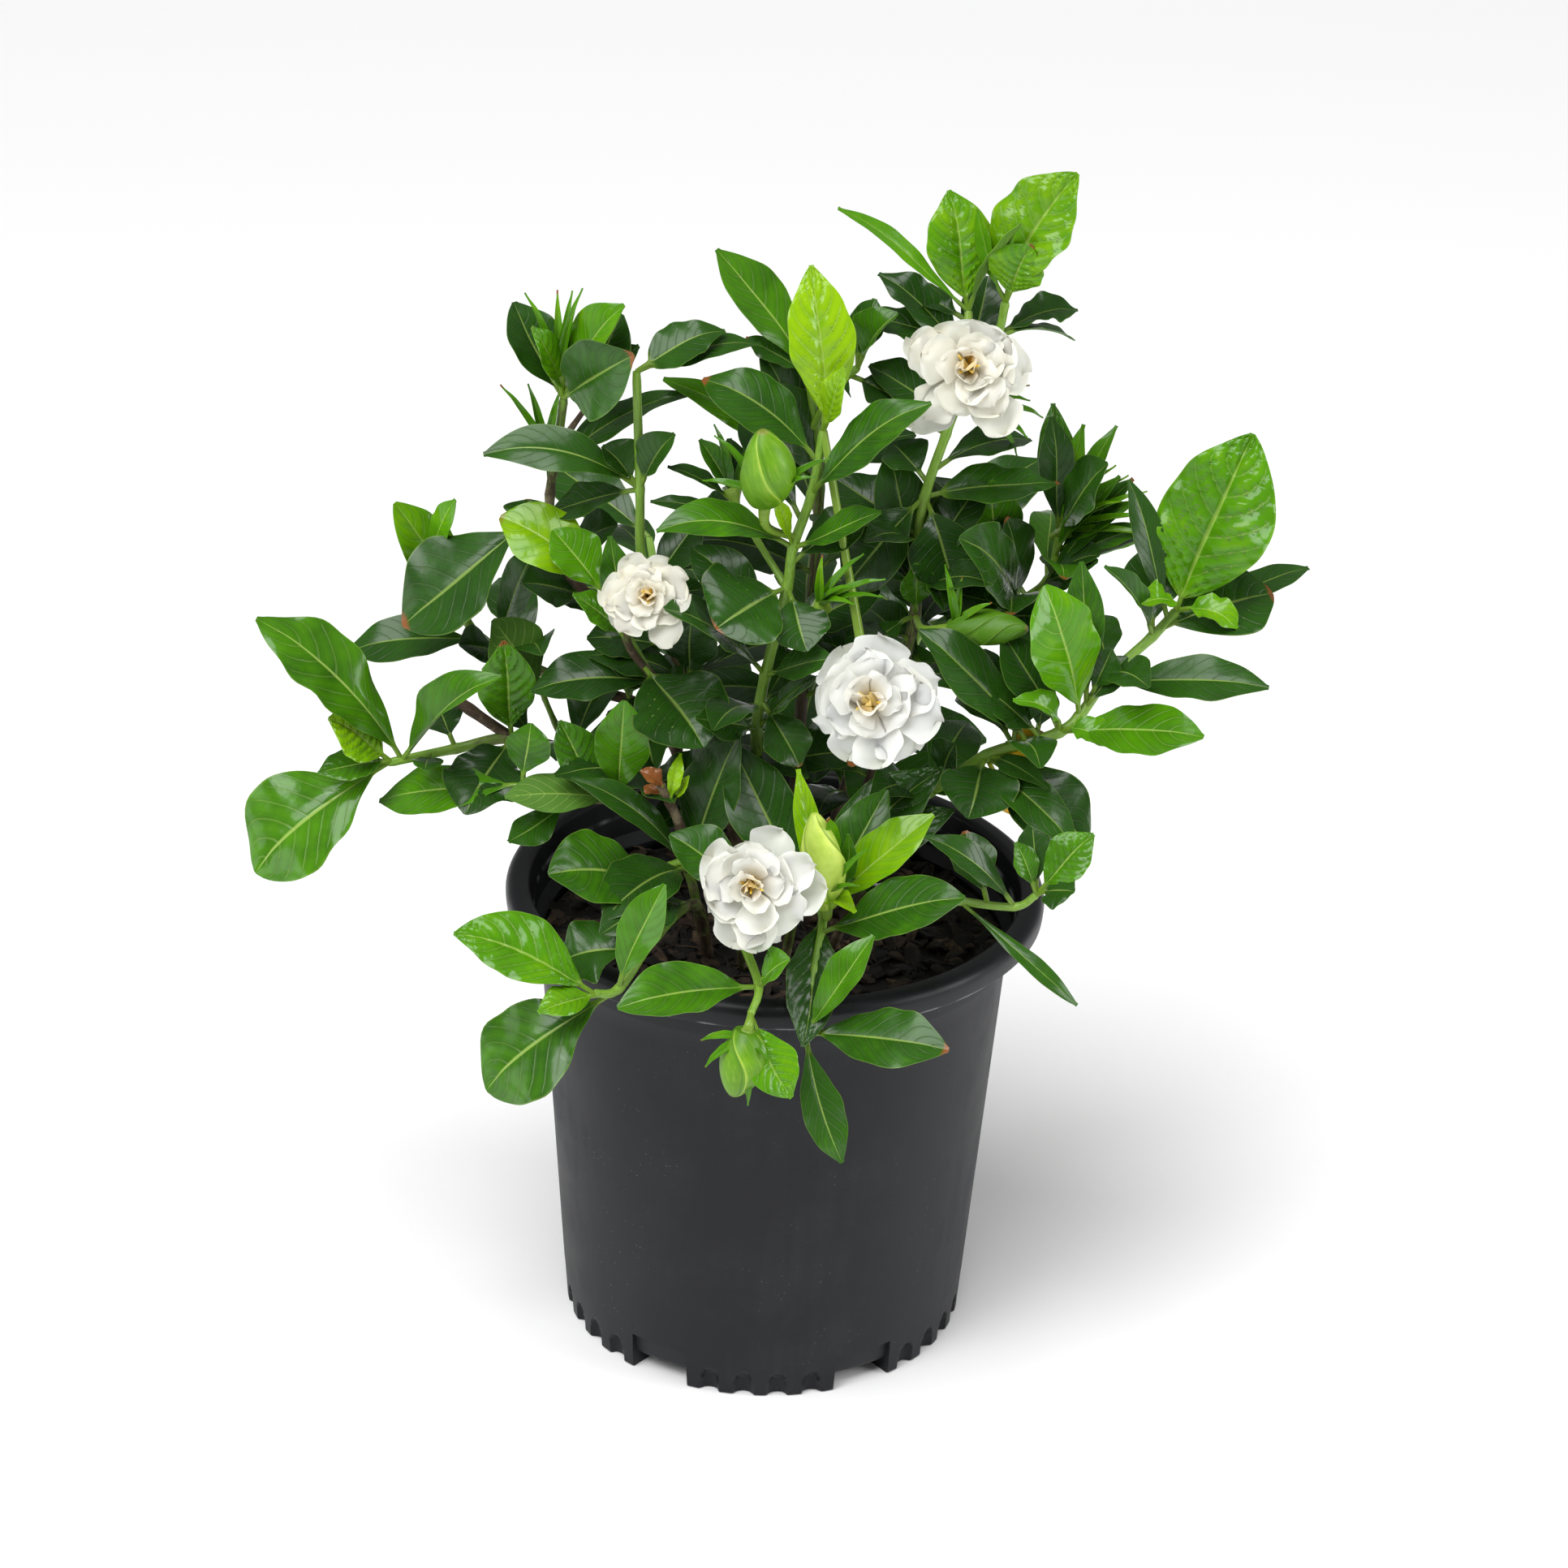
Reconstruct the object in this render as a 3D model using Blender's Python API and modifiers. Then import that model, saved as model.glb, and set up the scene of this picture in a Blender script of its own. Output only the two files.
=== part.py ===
"""A potted gardenia: a six-footed nursery pot of potting mix, and the young shrub that grows in it.

The shrub is laid out as shoots, each a line of nodes, and as the leaves, blooms and buds they carry.
X is to the right, Y to the rear and Z up. The origin is on the pot's axis, on the ground.
"""

import math

import bmesh
import bpy
from mathutils import Quaternion, Vector

MM = 0.001
GAP = 0.0003  # clearance between neighbouring solids

# The pot
RIM_RADIUS = 0.120
POT_HEIGHT = 0.214
WALL = 0.0025
FOOT_RADIUS = 0.0915  # the pot's outer radius where it meets the ground
BODY_RADIUS = 0.1050  # the outer radius just under the collar
COLLAR_RADIUS = 0.1090
COLLAR_BOTTOM = 0.190
LIP_BOTTOM = 0.203
FEET = 6
FOOT_HEIGHT = 0.018
FOOT_GAP_ANGLE = math.radians(18)
FOOT_INNER_RADIUS = 0.050  # the channels between the feet reach in this far
CENTRE_RECESS = 0.003
TURN_STEPS = 60

# The potting mix
MIX_EDGE_HEIGHT = 0.186
MIX_CROWN_HEIGHT = 0.192

# The shrub
LEAF_THICKNESS = 0.0009
PETIOLE_WIDTH = 0.0022
PETIOLE_REACH = 1.8  # stem radii from the shoot's line to the foot of a blade
LEAF_CELLS = (7, 2)  # along and across the blade
MAX_WIDTH_SKEW = 1.2  # puts the widest place past the middle of the blade
SKY = Vector((0.0, -0.5, 0.87))  # where an untwisted blade turns its face
STEM_STEPS = 3  # stretches of tube between two nodes

# How a blade is bent: (arch, fold in degrees), the arch as a share of the length.
LEAF_FORMS = {
    "flat": (0.04, 8),
    "young": (0.05, 14),
    "arched": (0.12, 10),
    "cupped": (0.06, 28),
    "wavy": (0.07, 12),
}

# Shoots: parent, radius at the foot and at the end, and the nodes, in millimetres. A shoot with no
# parent is rooted in the mix; the others start on their parent's line.
SHOOTS = {
    "centre": (None, 3.2, 2.2, [(-4, -8, 184), (-8, -20, 255), (-10, -28, 298), (-7, -30, 325),
                                (1, -36, 368), (3, -36, 386), (10, -30, 408), (14, -25, 434)]),
    "tall": (None, 4.0, 2.6, [(20, 4, 184), (37, 0, 248), (48, -5, 300), (56, -12, 347),
                              (55, -10, 370), (58, -9, 400), (66, 0, 425), (75, 9, 452),
                              (73, 6, 477)]),
    "back": (None, 3.6, 2.0, [(6, 26, 184), (10, 28, 300), (14, 24, 390), (8, 14, 442)]),
    "right": ("tall", 3.2, 2.4, [(37, 0, 248), (57, -20, 262), (88, -40, 295), (105, -43, 303),
                                 (118, -46, 310), (126, -43, 316), (138, -33, 330), (157, -20, 344),
                                 (167, -15, 354)]),
    "right_back": ("tall", 2.8, 2.0, [(48, -5, 300), (74, 16, 318), (98, 20, 338), (114, 18, 353),
                                      (118, 20, 374)]),
    "low_right": (None, 2.6, 1.8, [(22, -26, 184), (38, -56, 236), (60, -74, 246), (77, -84, 248),
                                   (100, -90, 249), (109, -92, 256)]),
    "low_centre": (None, 2.6, 1.8, [(4, -34, 184), (11, -62, 236), (20, -86, 241), (17, -110, 228),
                                    (14, -128, 207)]),
    "front": (None, 2.8, 1.8, [(-12, -38, 184), (-16, -72, 234), (-12, -104, 234), (-6, -128, 228),
                               (-9, -141, 222)]),
    "low_left": (None, 3.0, 2.0, [(-28, -26, 184), (-34, -56, 228), (-50, -94, 232), (-64, -118, 220),
                                  (-74, -125, 221)]),
    "left": (None, 4.2, 2.2, [(-20, 4, 184), (-39, 8, 250), (-90, 8, 268), (-116, -10, 283),
                              (-140, -16, 280), (-168, -28, 278)]),
    "wall_left": ("left", 2.8, 1.8, [(-39, 8, 250), (-48, -20, 264), (-68, -38, 269), (-88, -40, 269),
                                     (-109, -42, 276)]),
    "left_back": (None, 3.4, 2.0, [(-26, 26, 184), (-51, 34, 270), (-94, 30, 292), (-132, 30, 312),
                                   (-144, 25, 336), (-154, 20, 353)]),
    "spire_left": ("left_back", 3.0, 2.2, [(-51, 34, 270), (-70, 24, 318), (-92, 10, 352),
                                           (-100, 8, 372), (-101, 10, 389), (-98, 8, 410),
                                           (-95, 5, 434)]),
    "wand_left": (None, 2.8, 2.4, [(-6, 12, 184), (-36, -2, 295), (-54, -4, 340), (-61, -8, 368),
                                   (-62, -10, 400), (-64, -10, 452)]),
    "bloom_left": ("wand_left", 2.2, 1.8, [(-36, -2, 295), (-56, -20, 320), (-66, -30, 340),
                                           (-60, -40, 357)]),
    "rear_left": (None, 3.2, 2.0, [(-12, 44, 184), (-30, 66, 246), (-52, 92, 292), (-62, 112, 330)]),
    "rear_right": (None, 3.2, 2.0, [(18, 42, 184), (36, 64, 246), (62, 86, 296), (74, 106, 336)]),
}

# Leaves: shoot, node, tip in millimetres, width in millimetres, twist in degrees, form
LEAVES = {
    "leaf_centre_upright": ("centre", 7, (7, -10, 500), 30, 0, "young"),
    "leaf_centre_right": ("centre", 6, (56, -45, 455), 26, 0, "arched"),
    "leaf_centre_left": ("centre", 5, (-53, -50, 401), 21, 0, "arched"),
    "leaf_centre_broad": ("centre", 4, (-34, -60, 361), 30, 10, "cupped"),
    "leaf_centre_low": ("centre", 3, (-60, -72, 350), 20, 0, "arched"),
    "leaf_tall_upright": ("tall", 8, (63, 16, 526), 26, 0, "young"),
    "leaf_tall_large": ("tall", 8, (113, 0, 539), 33, 0, "young"),
    "leaf_tall_arching": ("tall", 5, (114, 5, 405), 18, 30, "arched"),
    "leaf_back_left": ("back", 3, (-32, 25, 495), 25, 0, "flat"),
    "leaf_right_large": ("right", 8, (195, -5, 432), 50, 0, "young"),
    "leaf_right_tip": ("right", 8, (228, 26, 360), 20, 0, "flat"),
    "leaf_right_long": ("right", 6, (202, -55, 340), 19, 20, "arched"),
    "leaf_right_upright": ("right", 5, (110, -50, 378), 30, 0, "young"),
    "leaf_right_low": ("right", 4, (174, -80, 326), 24, 0, "flat"),
    "leaf_right_inner": ("right", 3, (59, -60, 359), 25, 0, "flat"),
    "leaf_right_hanging": ("right", 2, (134, -66, 268), 34, 0, "flat"),
    "leaf_rim_ribbon": ("low_right", 3, (127, -122, 215), 12, 0, "flat"),
    "leaf_low_centre_broad": ("low_centre", 2, (77, -115, 266), 27, 0, "cupped"),
    "leaf_front_right": ("low_centre", 4, (72, -150, 212), 26, 0, "flat"),
    "leaf_front_hanging": ("low_centre", 4, (31, -148, 157), 18, 0, "flat"),
    "leaf_front_left": ("front", 3, (-63, -150, 228), 23, 0, "cupped"),
    "leaf_rim_left": ("low_left", 1, (-94, -86, 257), 30, 0, "young"),
    "leaf_low_left_young": ("low_left", 4, (-131, -120, 246), 30, 0, "young"),
    "leaf_low_left_large": ("low_left", 4, (-117, -130, 176), 34, 0, "wavy"),
    "leaf_left_upper": ("left", 5, (-221, -30, 345), 33, 0, "wavy"),
    "leaf_left_lower": ("left", 5, (-227, -46, 234), 40, 0, "wavy"),
    "leaf_left_back": ("left_back", 3, (-192, 20, 317), 22, 20, "arched"),
    "leaf_spire_broad": ("spire_left", 3, (-165, 8, 334), 32, 0, "flat"),
    "leaf_spire_side": ("spire_left", 4, (-127, -15, 416), 17, 20, "arched"),
    "leaf_wand_arching": ("wand_left", 5, (-9, 5, 467), 16, 40, "arched"),
    "leaf_rear_left": ("rear_left", 3, (-110, 148, 352), 32, 0, "young"),
    "leaf_rear_right": ("rear_right", 3, (118, 146, 362), 32, 0, "young"),
    "leaf_rear_low": ("rear_left", 2, (-14, 158, 282), 30, 0, "flat"),
}

# Double blooms: centre in millimetres, facing direction, diameter in millimetres
BLOOMS = {
    "bloom_top": ((73, -28, 465), (0.0, -0.9, 0.45), 56),
    "bloom_centre": ((36, -85, 339), (-0.05, -0.9, 0.4), 60),
    "bloom_left": ((-58, -58, 374), (-0.1, -0.85, 0.5), 44),
    "bloom_front": ((-9, -122, 270), (-0.05, -0.9, 0.4), 54),
}
BLOOM_DEPTH = 0.42  # the next four are shares of the bloom's radius
BLOOM_TUBE = 1.15
PETAL_LOBE_SHARE = 0.09
DIMPLE_SHARE = 0.25
PETAL_LOBES = 7

# Buds: foot and tip in millimetres, widest diameter in millimetres
BUDS = {
    "bud_centre": ((0, -42, 401), (-10, -52, 442), 23),
    "bud_pale": ((24, -95, 250), (19, -97, 292), 17),
    "bud_hanging": ((-10, -147, 218), (-15, -152, 190), 19),
    "bud_right": ((63, -22, 349), (104, -46, 357), 15),
}


def clear_scene():
    for thing in list(bpy.data.objects):
        bpy.data.objects.remove(thing, do_unlink=True)


def collection(name):
    made = bpy.data.collections.new(name)
    bpy.context.scene.collection.children.link(made)
    return made


def material(name, colour, roughness):
    made = bpy.data.materials.new(name)
    made.use_nodes = True
    shader = made.node_tree.nodes["Principled BSDF"]
    shader.inputs["Base Color"].default_value = (*colour, 1.0)
    shader.inputs["Roughness"].default_value = roughness
    shader.inputs["Metallic"].default_value = 0.0
    return made


def add_object(name, mesh, group, finish=None):
    thing = bpy.data.objects.new(name, mesh)
    group.objects.link(thing)
    if finish is None:
        thing.hide_render = True
        thing.display_type = "WIRE"
    else:
        mesh.materials.clear()
        mesh.materials.append(finish)
        mesh.shade_smooth()
    return thing


def turned(name, profile, group, finish=None):
    """A profile of (radius, height) points turned about Z, from the axis at the top down to the axis."""
    mesh = bpy.data.meshes.new(name)
    rows = [(radius, 0.0, height) for radius, height in profile]
    edges = [(i, i + 1) for i in range(len(rows) - 1)]
    mesh.from_pydata(rows, edges, [])
    thing = add_object(name, mesh, group, finish)
    screw = thing.modifiers.new("Turn", "SCREW")
    screw.steps = TURN_STEPS
    screw.render_steps = TURN_STEPS
    screw.use_merge_vertices = True
    screw.merge_threshold = 0.00001
    screw.use_smooth_shade = True
    return thing


def cut(thing, cutter, operation="DIFFERENCE"):
    boolean = thing.modifiers.new("Cut " + cutter.name, "BOOLEAN")
    boolean.operation = operation
    boolean.object = cutter


def body_radius(height, inset=0.0):
    """The pot's tapering wall, measured inwards from its outer face."""
    return FOOT_RADIUS + (BODY_RADIUS - FOOT_RADIUS) * height / COLLAR_BOTTOM - inset


def channels(name, extra, group):
    """The wedge-shaped channels between the feet, as one fan of six; extra widens and raises them."""
    bm = bmesh.new()
    top = FOOT_HEIGHT + extra
    bottom = -0.010
    for foot in range(FEET):
        middle = math.radians(-90 + 30) + foot * math.tau / FEET
        half = FOOT_GAP_ANGLE / 2
        inner = FOOT_INNER_RADIUS - extra
        outer = FOOT_RADIUS + 0.020
        corners = []
        for radius, side in ((inner, -1), (outer, -1), (outer, 1), (inner, 1)):
            angle = middle + side * (half + extra / radius)
            corners.append((radius * math.cos(angle), radius * math.sin(angle)))
        low = [bm.verts.new((x, y, bottom)) for x, y in corners]
        high = [bm.verts.new((x, y, top)) for x, y in corners]
        bm.faces.new(low[::-1])
        bm.faces.new(high)
        for i in range(4):
            j = (i + 1) % 4
            bm.faces.new((low[i], low[j], high[j], high[i]))
    mesh = bpy.data.meshes.new(name)
    bm.to_mesh(mesh)
    bm.free()
    return add_object(name, mesh, group)


def build_pot(group, cutters):
    outer = [
        (0.0, POT_HEIGHT - 0.004),
        (0.1085, POT_HEIGHT - 0.004),
        (0.1100, POT_HEIGHT - 0.001),
        (0.1125, POT_HEIGHT),
        (0.1165, POT_HEIGHT - 0.0008),
        (RIM_RADIUS - 0.0008, POT_HEIGHT - 0.0035),
        (RIM_RADIUS, POT_HEIGHT - 0.007),
        (RIM_RADIUS - 0.0006, LIP_BOTTOM),
        (COLLAR_RADIUS + 0.0014, LIP_BOTTOM),
        (COLLAR_RADIUS, COLLAR_BOTTOM + 0.001),
        (COLLAR_RADIUS - 0.001, COLLAR_BOTTOM),
        (body_radius(COLLAR_BOTTOM), COLLAR_BOTTOM),
        (body_radius(0.100), 0.100),
        (body_radius(FOOT_HEIGHT), FOOT_HEIGHT),
        (body_radius(0.004), 0.004),
        (FOOT_RADIUS - 0.002, 0.0),
        (FOOT_INNER_RADIUS - 0.002, 0.0),
        (FOOT_INNER_RADIUS - 0.006, CENTRE_RECESS),
        (0.0, CENTRE_RECESS),
    ]
    hollow = [
        (0.0, POT_HEIGHT + 0.010),
        (0.1085, POT_HEIGHT + 0.010),
        (0.1085, POT_HEIGHT - 0.008),
        (COLLAR_RADIUS - WALL, LIP_BOTTOM - 0.003),
        (COLLAR_RADIUS - WALL, COLLAR_BOTTOM + WALL),
        (body_radius(COLLAR_BOTTOM, WALL), COLLAR_BOTTOM),
        (body_radius(0.006, WALL), 0.006),
        (0.0, 0.006),
    ]
    plastic = material("black moulded plastic", (0.031, 0.034, 0.040), 0.45)
    pot = turned("pot", outer, group, plastic)
    channel_cutter = channels("foot_channels", 0.0, cutters)
    cavity = turned("pot_cavity", hollow, cutters)
    cut(cavity, channels("foot_walls", WALL, cutters))
    cut(pot, channel_cutter)
    cut(pot, cavity)
    return pot


def build_mix(group, cutters, sockets):
    inset = WALL + GAP
    profile = [
        (0.0, MIX_CROWN_HEIGHT),
        (0.040, MIX_CROWN_HEIGHT - 0.001),
        (0.080, MIX_EDGE_HEIGHT + 0.002),
        (body_radius(MIX_EDGE_HEIGHT, inset + 0.0002), MIX_EDGE_HEIGHT),
        (body_radius(0.0065, inset + 0.0002), 0.0065),
        (0.0, 0.0065),
    ]
    bark = material("bark potting mix", (0.030, 0.018, 0.011), 0.95)
    mix = turned("potting_mix", profile, group, bark)
    cut(mix, channels("mix_channels", WALL + 2 * GAP, cutters))
    for socket in sockets:
        cut(mix, socket)
    return mix


def smooth_line(nodes, steps):
    """Points along a Catmull-Rom curve through the nodes, steps to each stretch."""
    ends = [nodes[0] * 2 - nodes[1], *nodes, nodes[-1] * 2 - nodes[-2]]
    line = []
    for a, b, c, d in zip(ends, ends[1:], ends[2:], ends[3:]):
        for i in range(steps):
            t = i / steps
            square = (2 * a - 5 * b + 4 * c - d) * t**2
            cube = (3 * b - a - 3 * c + d) * t**3
            line.append(0.5 * (2 * b + (c - a) * t + square + cube))
    return [*line, nodes[-1].copy()]


def tube(name, line, start_radius, end_radius, group, finish=None):
    """A tapering round tube along a line, as a mesh with closed ends."""
    curve = bpy.data.curves.new(name, "CURVE")
    curve.dimensions = "3D"
    curve.bevel_depth = 1.0
    curve.bevel_resolution = 1
    curve.use_fill_caps = True
    spline = curve.splines.new("POLY")
    spline.points.add(len(line) - 1)
    for i, point in enumerate(line):
        share = i / (len(line) - 1)
        spline.points[i].co = (*point, 1.0)
        spline.points[i].radius = start_radius + (end_radius - start_radius) * share
    guide = bpy.data.objects.new(name + "_guide", curve)
    group.objects.link(guide)
    bpy.context.view_layer.update()
    evaluated = guide.evaluated_get(bpy.context.evaluated_depsgraph_get())
    mesh = bpy.data.meshes.new_from_object(evaluated)
    bpy.data.objects.remove(guide, do_unlink=True)
    bm = bmesh.new()
    bm.from_mesh(mesh)
    bmesh.ops.remove_doubles(bm, verts=bm.verts, dist=0.00001)
    bmesh.ops.recalc_face_normals(bm, faces=bm.faces)
    bm.to_mesh(mesh)
    bm.free()
    mesh.name = name
    return add_object(name, mesh, group, finish)


def build_shoots(group, cutters):
    """One tapering stem per shoot. A side shoot is cut back from its parent; a rooted one has a socket."""
    bark = material("green gardenia stem", (0.085, 0.120, 0.035), 0.6)
    sleeves = {}
    sockets = []
    for name, (parent, start, end, nodes) in SHOOTS.items():
        line = smooth_line([Vector(node) * MM for node in nodes], STEM_STEPS)
        stem = tube("stem_" + name, line, start * MM, end * MM, group, bark)
        sleeve = tube("sleeve_" + name, line, start * MM + GAP, end * MM + GAP, cutters)
        sleeves[name] = sleeve
        if parent:
            cut(stem, sleeves[parent])
        else:
            sockets.append(sleeve)
    return sockets


def leaf_frame(base, tip, twist):
    """The blade's length, its direction, its face and its side, as unit vectors."""
    along = (tip - base).normalized()
    face = (SKY - SKY.dot(along) * along).normalized()
    face = Quaternion(along, math.radians(twist)) @ face
    return (tip - base).length, along, face, along.cross(face)


def build_leaf(name, group, finish):
    shoot, node, tip, width, twist, form = LEAVES[name]
    nodes = SHOOTS[shoot][3]
    start, end = SHOOTS[shoot][1:3]
    share = node / (len(nodes) - 1)
    stem_radius = (start + (end - start) * share) * MM
    base = Vector(nodes[node]) * MM
    tip = Vector(tip) * MM
    base += (tip - base).normalized() * (PETIOLE_REACH * stem_radius + 4 * GAP)
    length, along, face, side = leaf_frame(base, tip, twist)
    arch, fold = LEAF_FORMS[form]
    rise = math.tan(math.radians(fold))
    bm = bmesh.new()
    bmesh.ops.create_grid(bm, x_segments=LEAF_CELLS[0], y_segments=LEAF_CELLS[1], size=0.5)
    for vert in bm.verts:
        t = vert.co.x + 0.5
        across = vert.co.y * 2
        swell = math.sin(math.pi * t**MAX_WIDTH_SKEW)
        half = max(width * MM / 2 * swell, PETIOLE_WIDTH / 2)
        lift = arch * length * 4 * t * (1 - t) + rise * half * abs(across)
        vert.co = base + along * (length * t) + face * lift + side * (half * across)
    mesh = bpy.data.meshes.new(name)
    bm.to_mesh(mesh)
    bm.free()
    blade = add_object(name, mesh, group, finish)
    shell = blade.modifiers.new("Thickness", "SOLIDIFY")
    shell.thickness = LEAF_THICKNESS
    shell.offset = 0.0
    return blade


def turned_to(direction):
    """The turn that carries +Z to a direction."""
    return Vector((0, 0, 1)).rotation_difference(Vector(direction).normalized())


def build_bloom(name, group, finish):
    """A double bloom: a low lobed rosette with a dimple in its face, on a tube that narrows behind."""
    centre, facing, diameter = BLOOMS[name]
    radius = diameter * MM / 2
    bm = bmesh.new()
    bmesh.ops.create_uvsphere(bm, u_segments=3 * PETAL_LOBES, v_segments=10, radius=1.0)
    for vert in bm.verts:
        x, y, z = vert.co
        flat = math.hypot(x, y)
        angle = math.atan2(y, x)
        lobes = 1 + PETAL_LOBE_SHARE * flat * math.cos(PETAL_LOBES * angle)
        if z > 0:
            height = BLOOM_DEPTH * (z - DIMPLE_SHARE * math.exp(-((flat / 0.3) ** 2)))
        else:
            lobes *= 1 + 0.8 * z**3
            height = 0.3 * z - (BLOOM_TUBE - 0.3) * z**4
        vert.co = Vector((x * lobes, y * lobes, height)) * radius
    mesh = bpy.data.meshes.new(name)
    bm.to_mesh(mesh)
    bm.free()
    bloom = add_object(name, mesh, group, finish)
    bloom.rotation_mode = "QUATERNION"
    bloom.rotation_quaternion = turned_to(facing)
    bloom.location = Vector(centre) * MM
    return bloom


def build_bud(name, group, finish):
    """A bud: an egg drawn out towards its tip, with five soft spiral ridges."""
    foot, tip, width = BUDS[name]
    foot = Vector(foot) * MM
    tip = Vector(tip) * MM
    length = (tip - foot).length
    bm = bmesh.new()
    bmesh.ops.create_uvsphere(bm, u_segments=15, v_segments=10, radius=1.0)
    for vert in bm.verts:
        x, y, z = vert.co
        t = (z + 1) / 2
        angle = math.atan2(y, x)
        ridge = 1 + 0.06 * math.cos(5 * (angle - 1.5 * t))
        narrow = 1 - 0.35 * t**2
        swell = width * MM / 2 * ridge * narrow
        vert.co = Vector((x * swell, y * swell, length * t))
    mesh = bpy.data.meshes.new(name)
    bm.to_mesh(mesh)
    bm.free()
    bud = add_object(name, mesh, group, finish)
    bud.rotation_mode = "QUATERNION"
    bud.rotation_quaternion = turned_to(tip - foot)
    bud.location = foot
    return bud


def main():
    clear_scene()
    parts = collection("potted_gardenia")
    cutters = collection("cutters")
    build_pot(parts, cutters)
    sockets = build_shoots(parts, cutters)
    build_mix(parts, cutters, sockets)
    leaf_green = material("glossy gardenia leaf", (0.035, 0.120, 0.018), 0.28)
    for name in LEAVES:
        build_leaf(name, parts, leaf_green)
    petal_white = material("ivory petals", (0.86, 0.85, 0.78), 0.5)
    for name in BLOOMS:
        build_bloom(name, parts, petal_white)
    bud_green = material("bud green", (0.25, 0.42, 0.06), 0.4)
    for name in BUDS:
        build_bud(name, parts, bud_green)


main()
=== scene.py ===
"""The looks of a potted gardenia: blades, petals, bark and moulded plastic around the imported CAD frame.

X is to the right, Y to the rear and Z up. Tables are in millimetres and every mesh is in metres.
"""

import math
from collections import namedtuple

import bpy
import numpy as np
from mathutils import Matrix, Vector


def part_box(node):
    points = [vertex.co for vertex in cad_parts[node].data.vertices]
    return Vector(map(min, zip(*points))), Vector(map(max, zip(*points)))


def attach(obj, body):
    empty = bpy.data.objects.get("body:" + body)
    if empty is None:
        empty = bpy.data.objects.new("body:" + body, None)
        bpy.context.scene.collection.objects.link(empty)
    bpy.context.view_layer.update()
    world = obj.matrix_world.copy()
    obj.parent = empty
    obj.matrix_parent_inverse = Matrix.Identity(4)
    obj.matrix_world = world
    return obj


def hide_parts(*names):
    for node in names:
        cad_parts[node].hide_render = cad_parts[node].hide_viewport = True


bl_info = {
    "name": "Potted gardenia",
    "version": (1, 0, 0),
    "blender": (4, 5, 0),
    "location": "View3D > Sidebar > Gardenia",
    "description": "Builds a potted double gardenia around its CAD frame",
    "category": "Add Mesh",
}

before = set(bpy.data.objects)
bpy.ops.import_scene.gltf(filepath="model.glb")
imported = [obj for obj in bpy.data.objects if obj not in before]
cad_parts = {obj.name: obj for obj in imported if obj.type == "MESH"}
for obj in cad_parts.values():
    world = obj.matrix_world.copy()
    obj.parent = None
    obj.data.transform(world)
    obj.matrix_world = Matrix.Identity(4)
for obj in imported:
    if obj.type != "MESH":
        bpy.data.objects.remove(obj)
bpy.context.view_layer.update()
MM = 0.001

# ---------------------------------------------------------------- the shrub's plan

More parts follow.
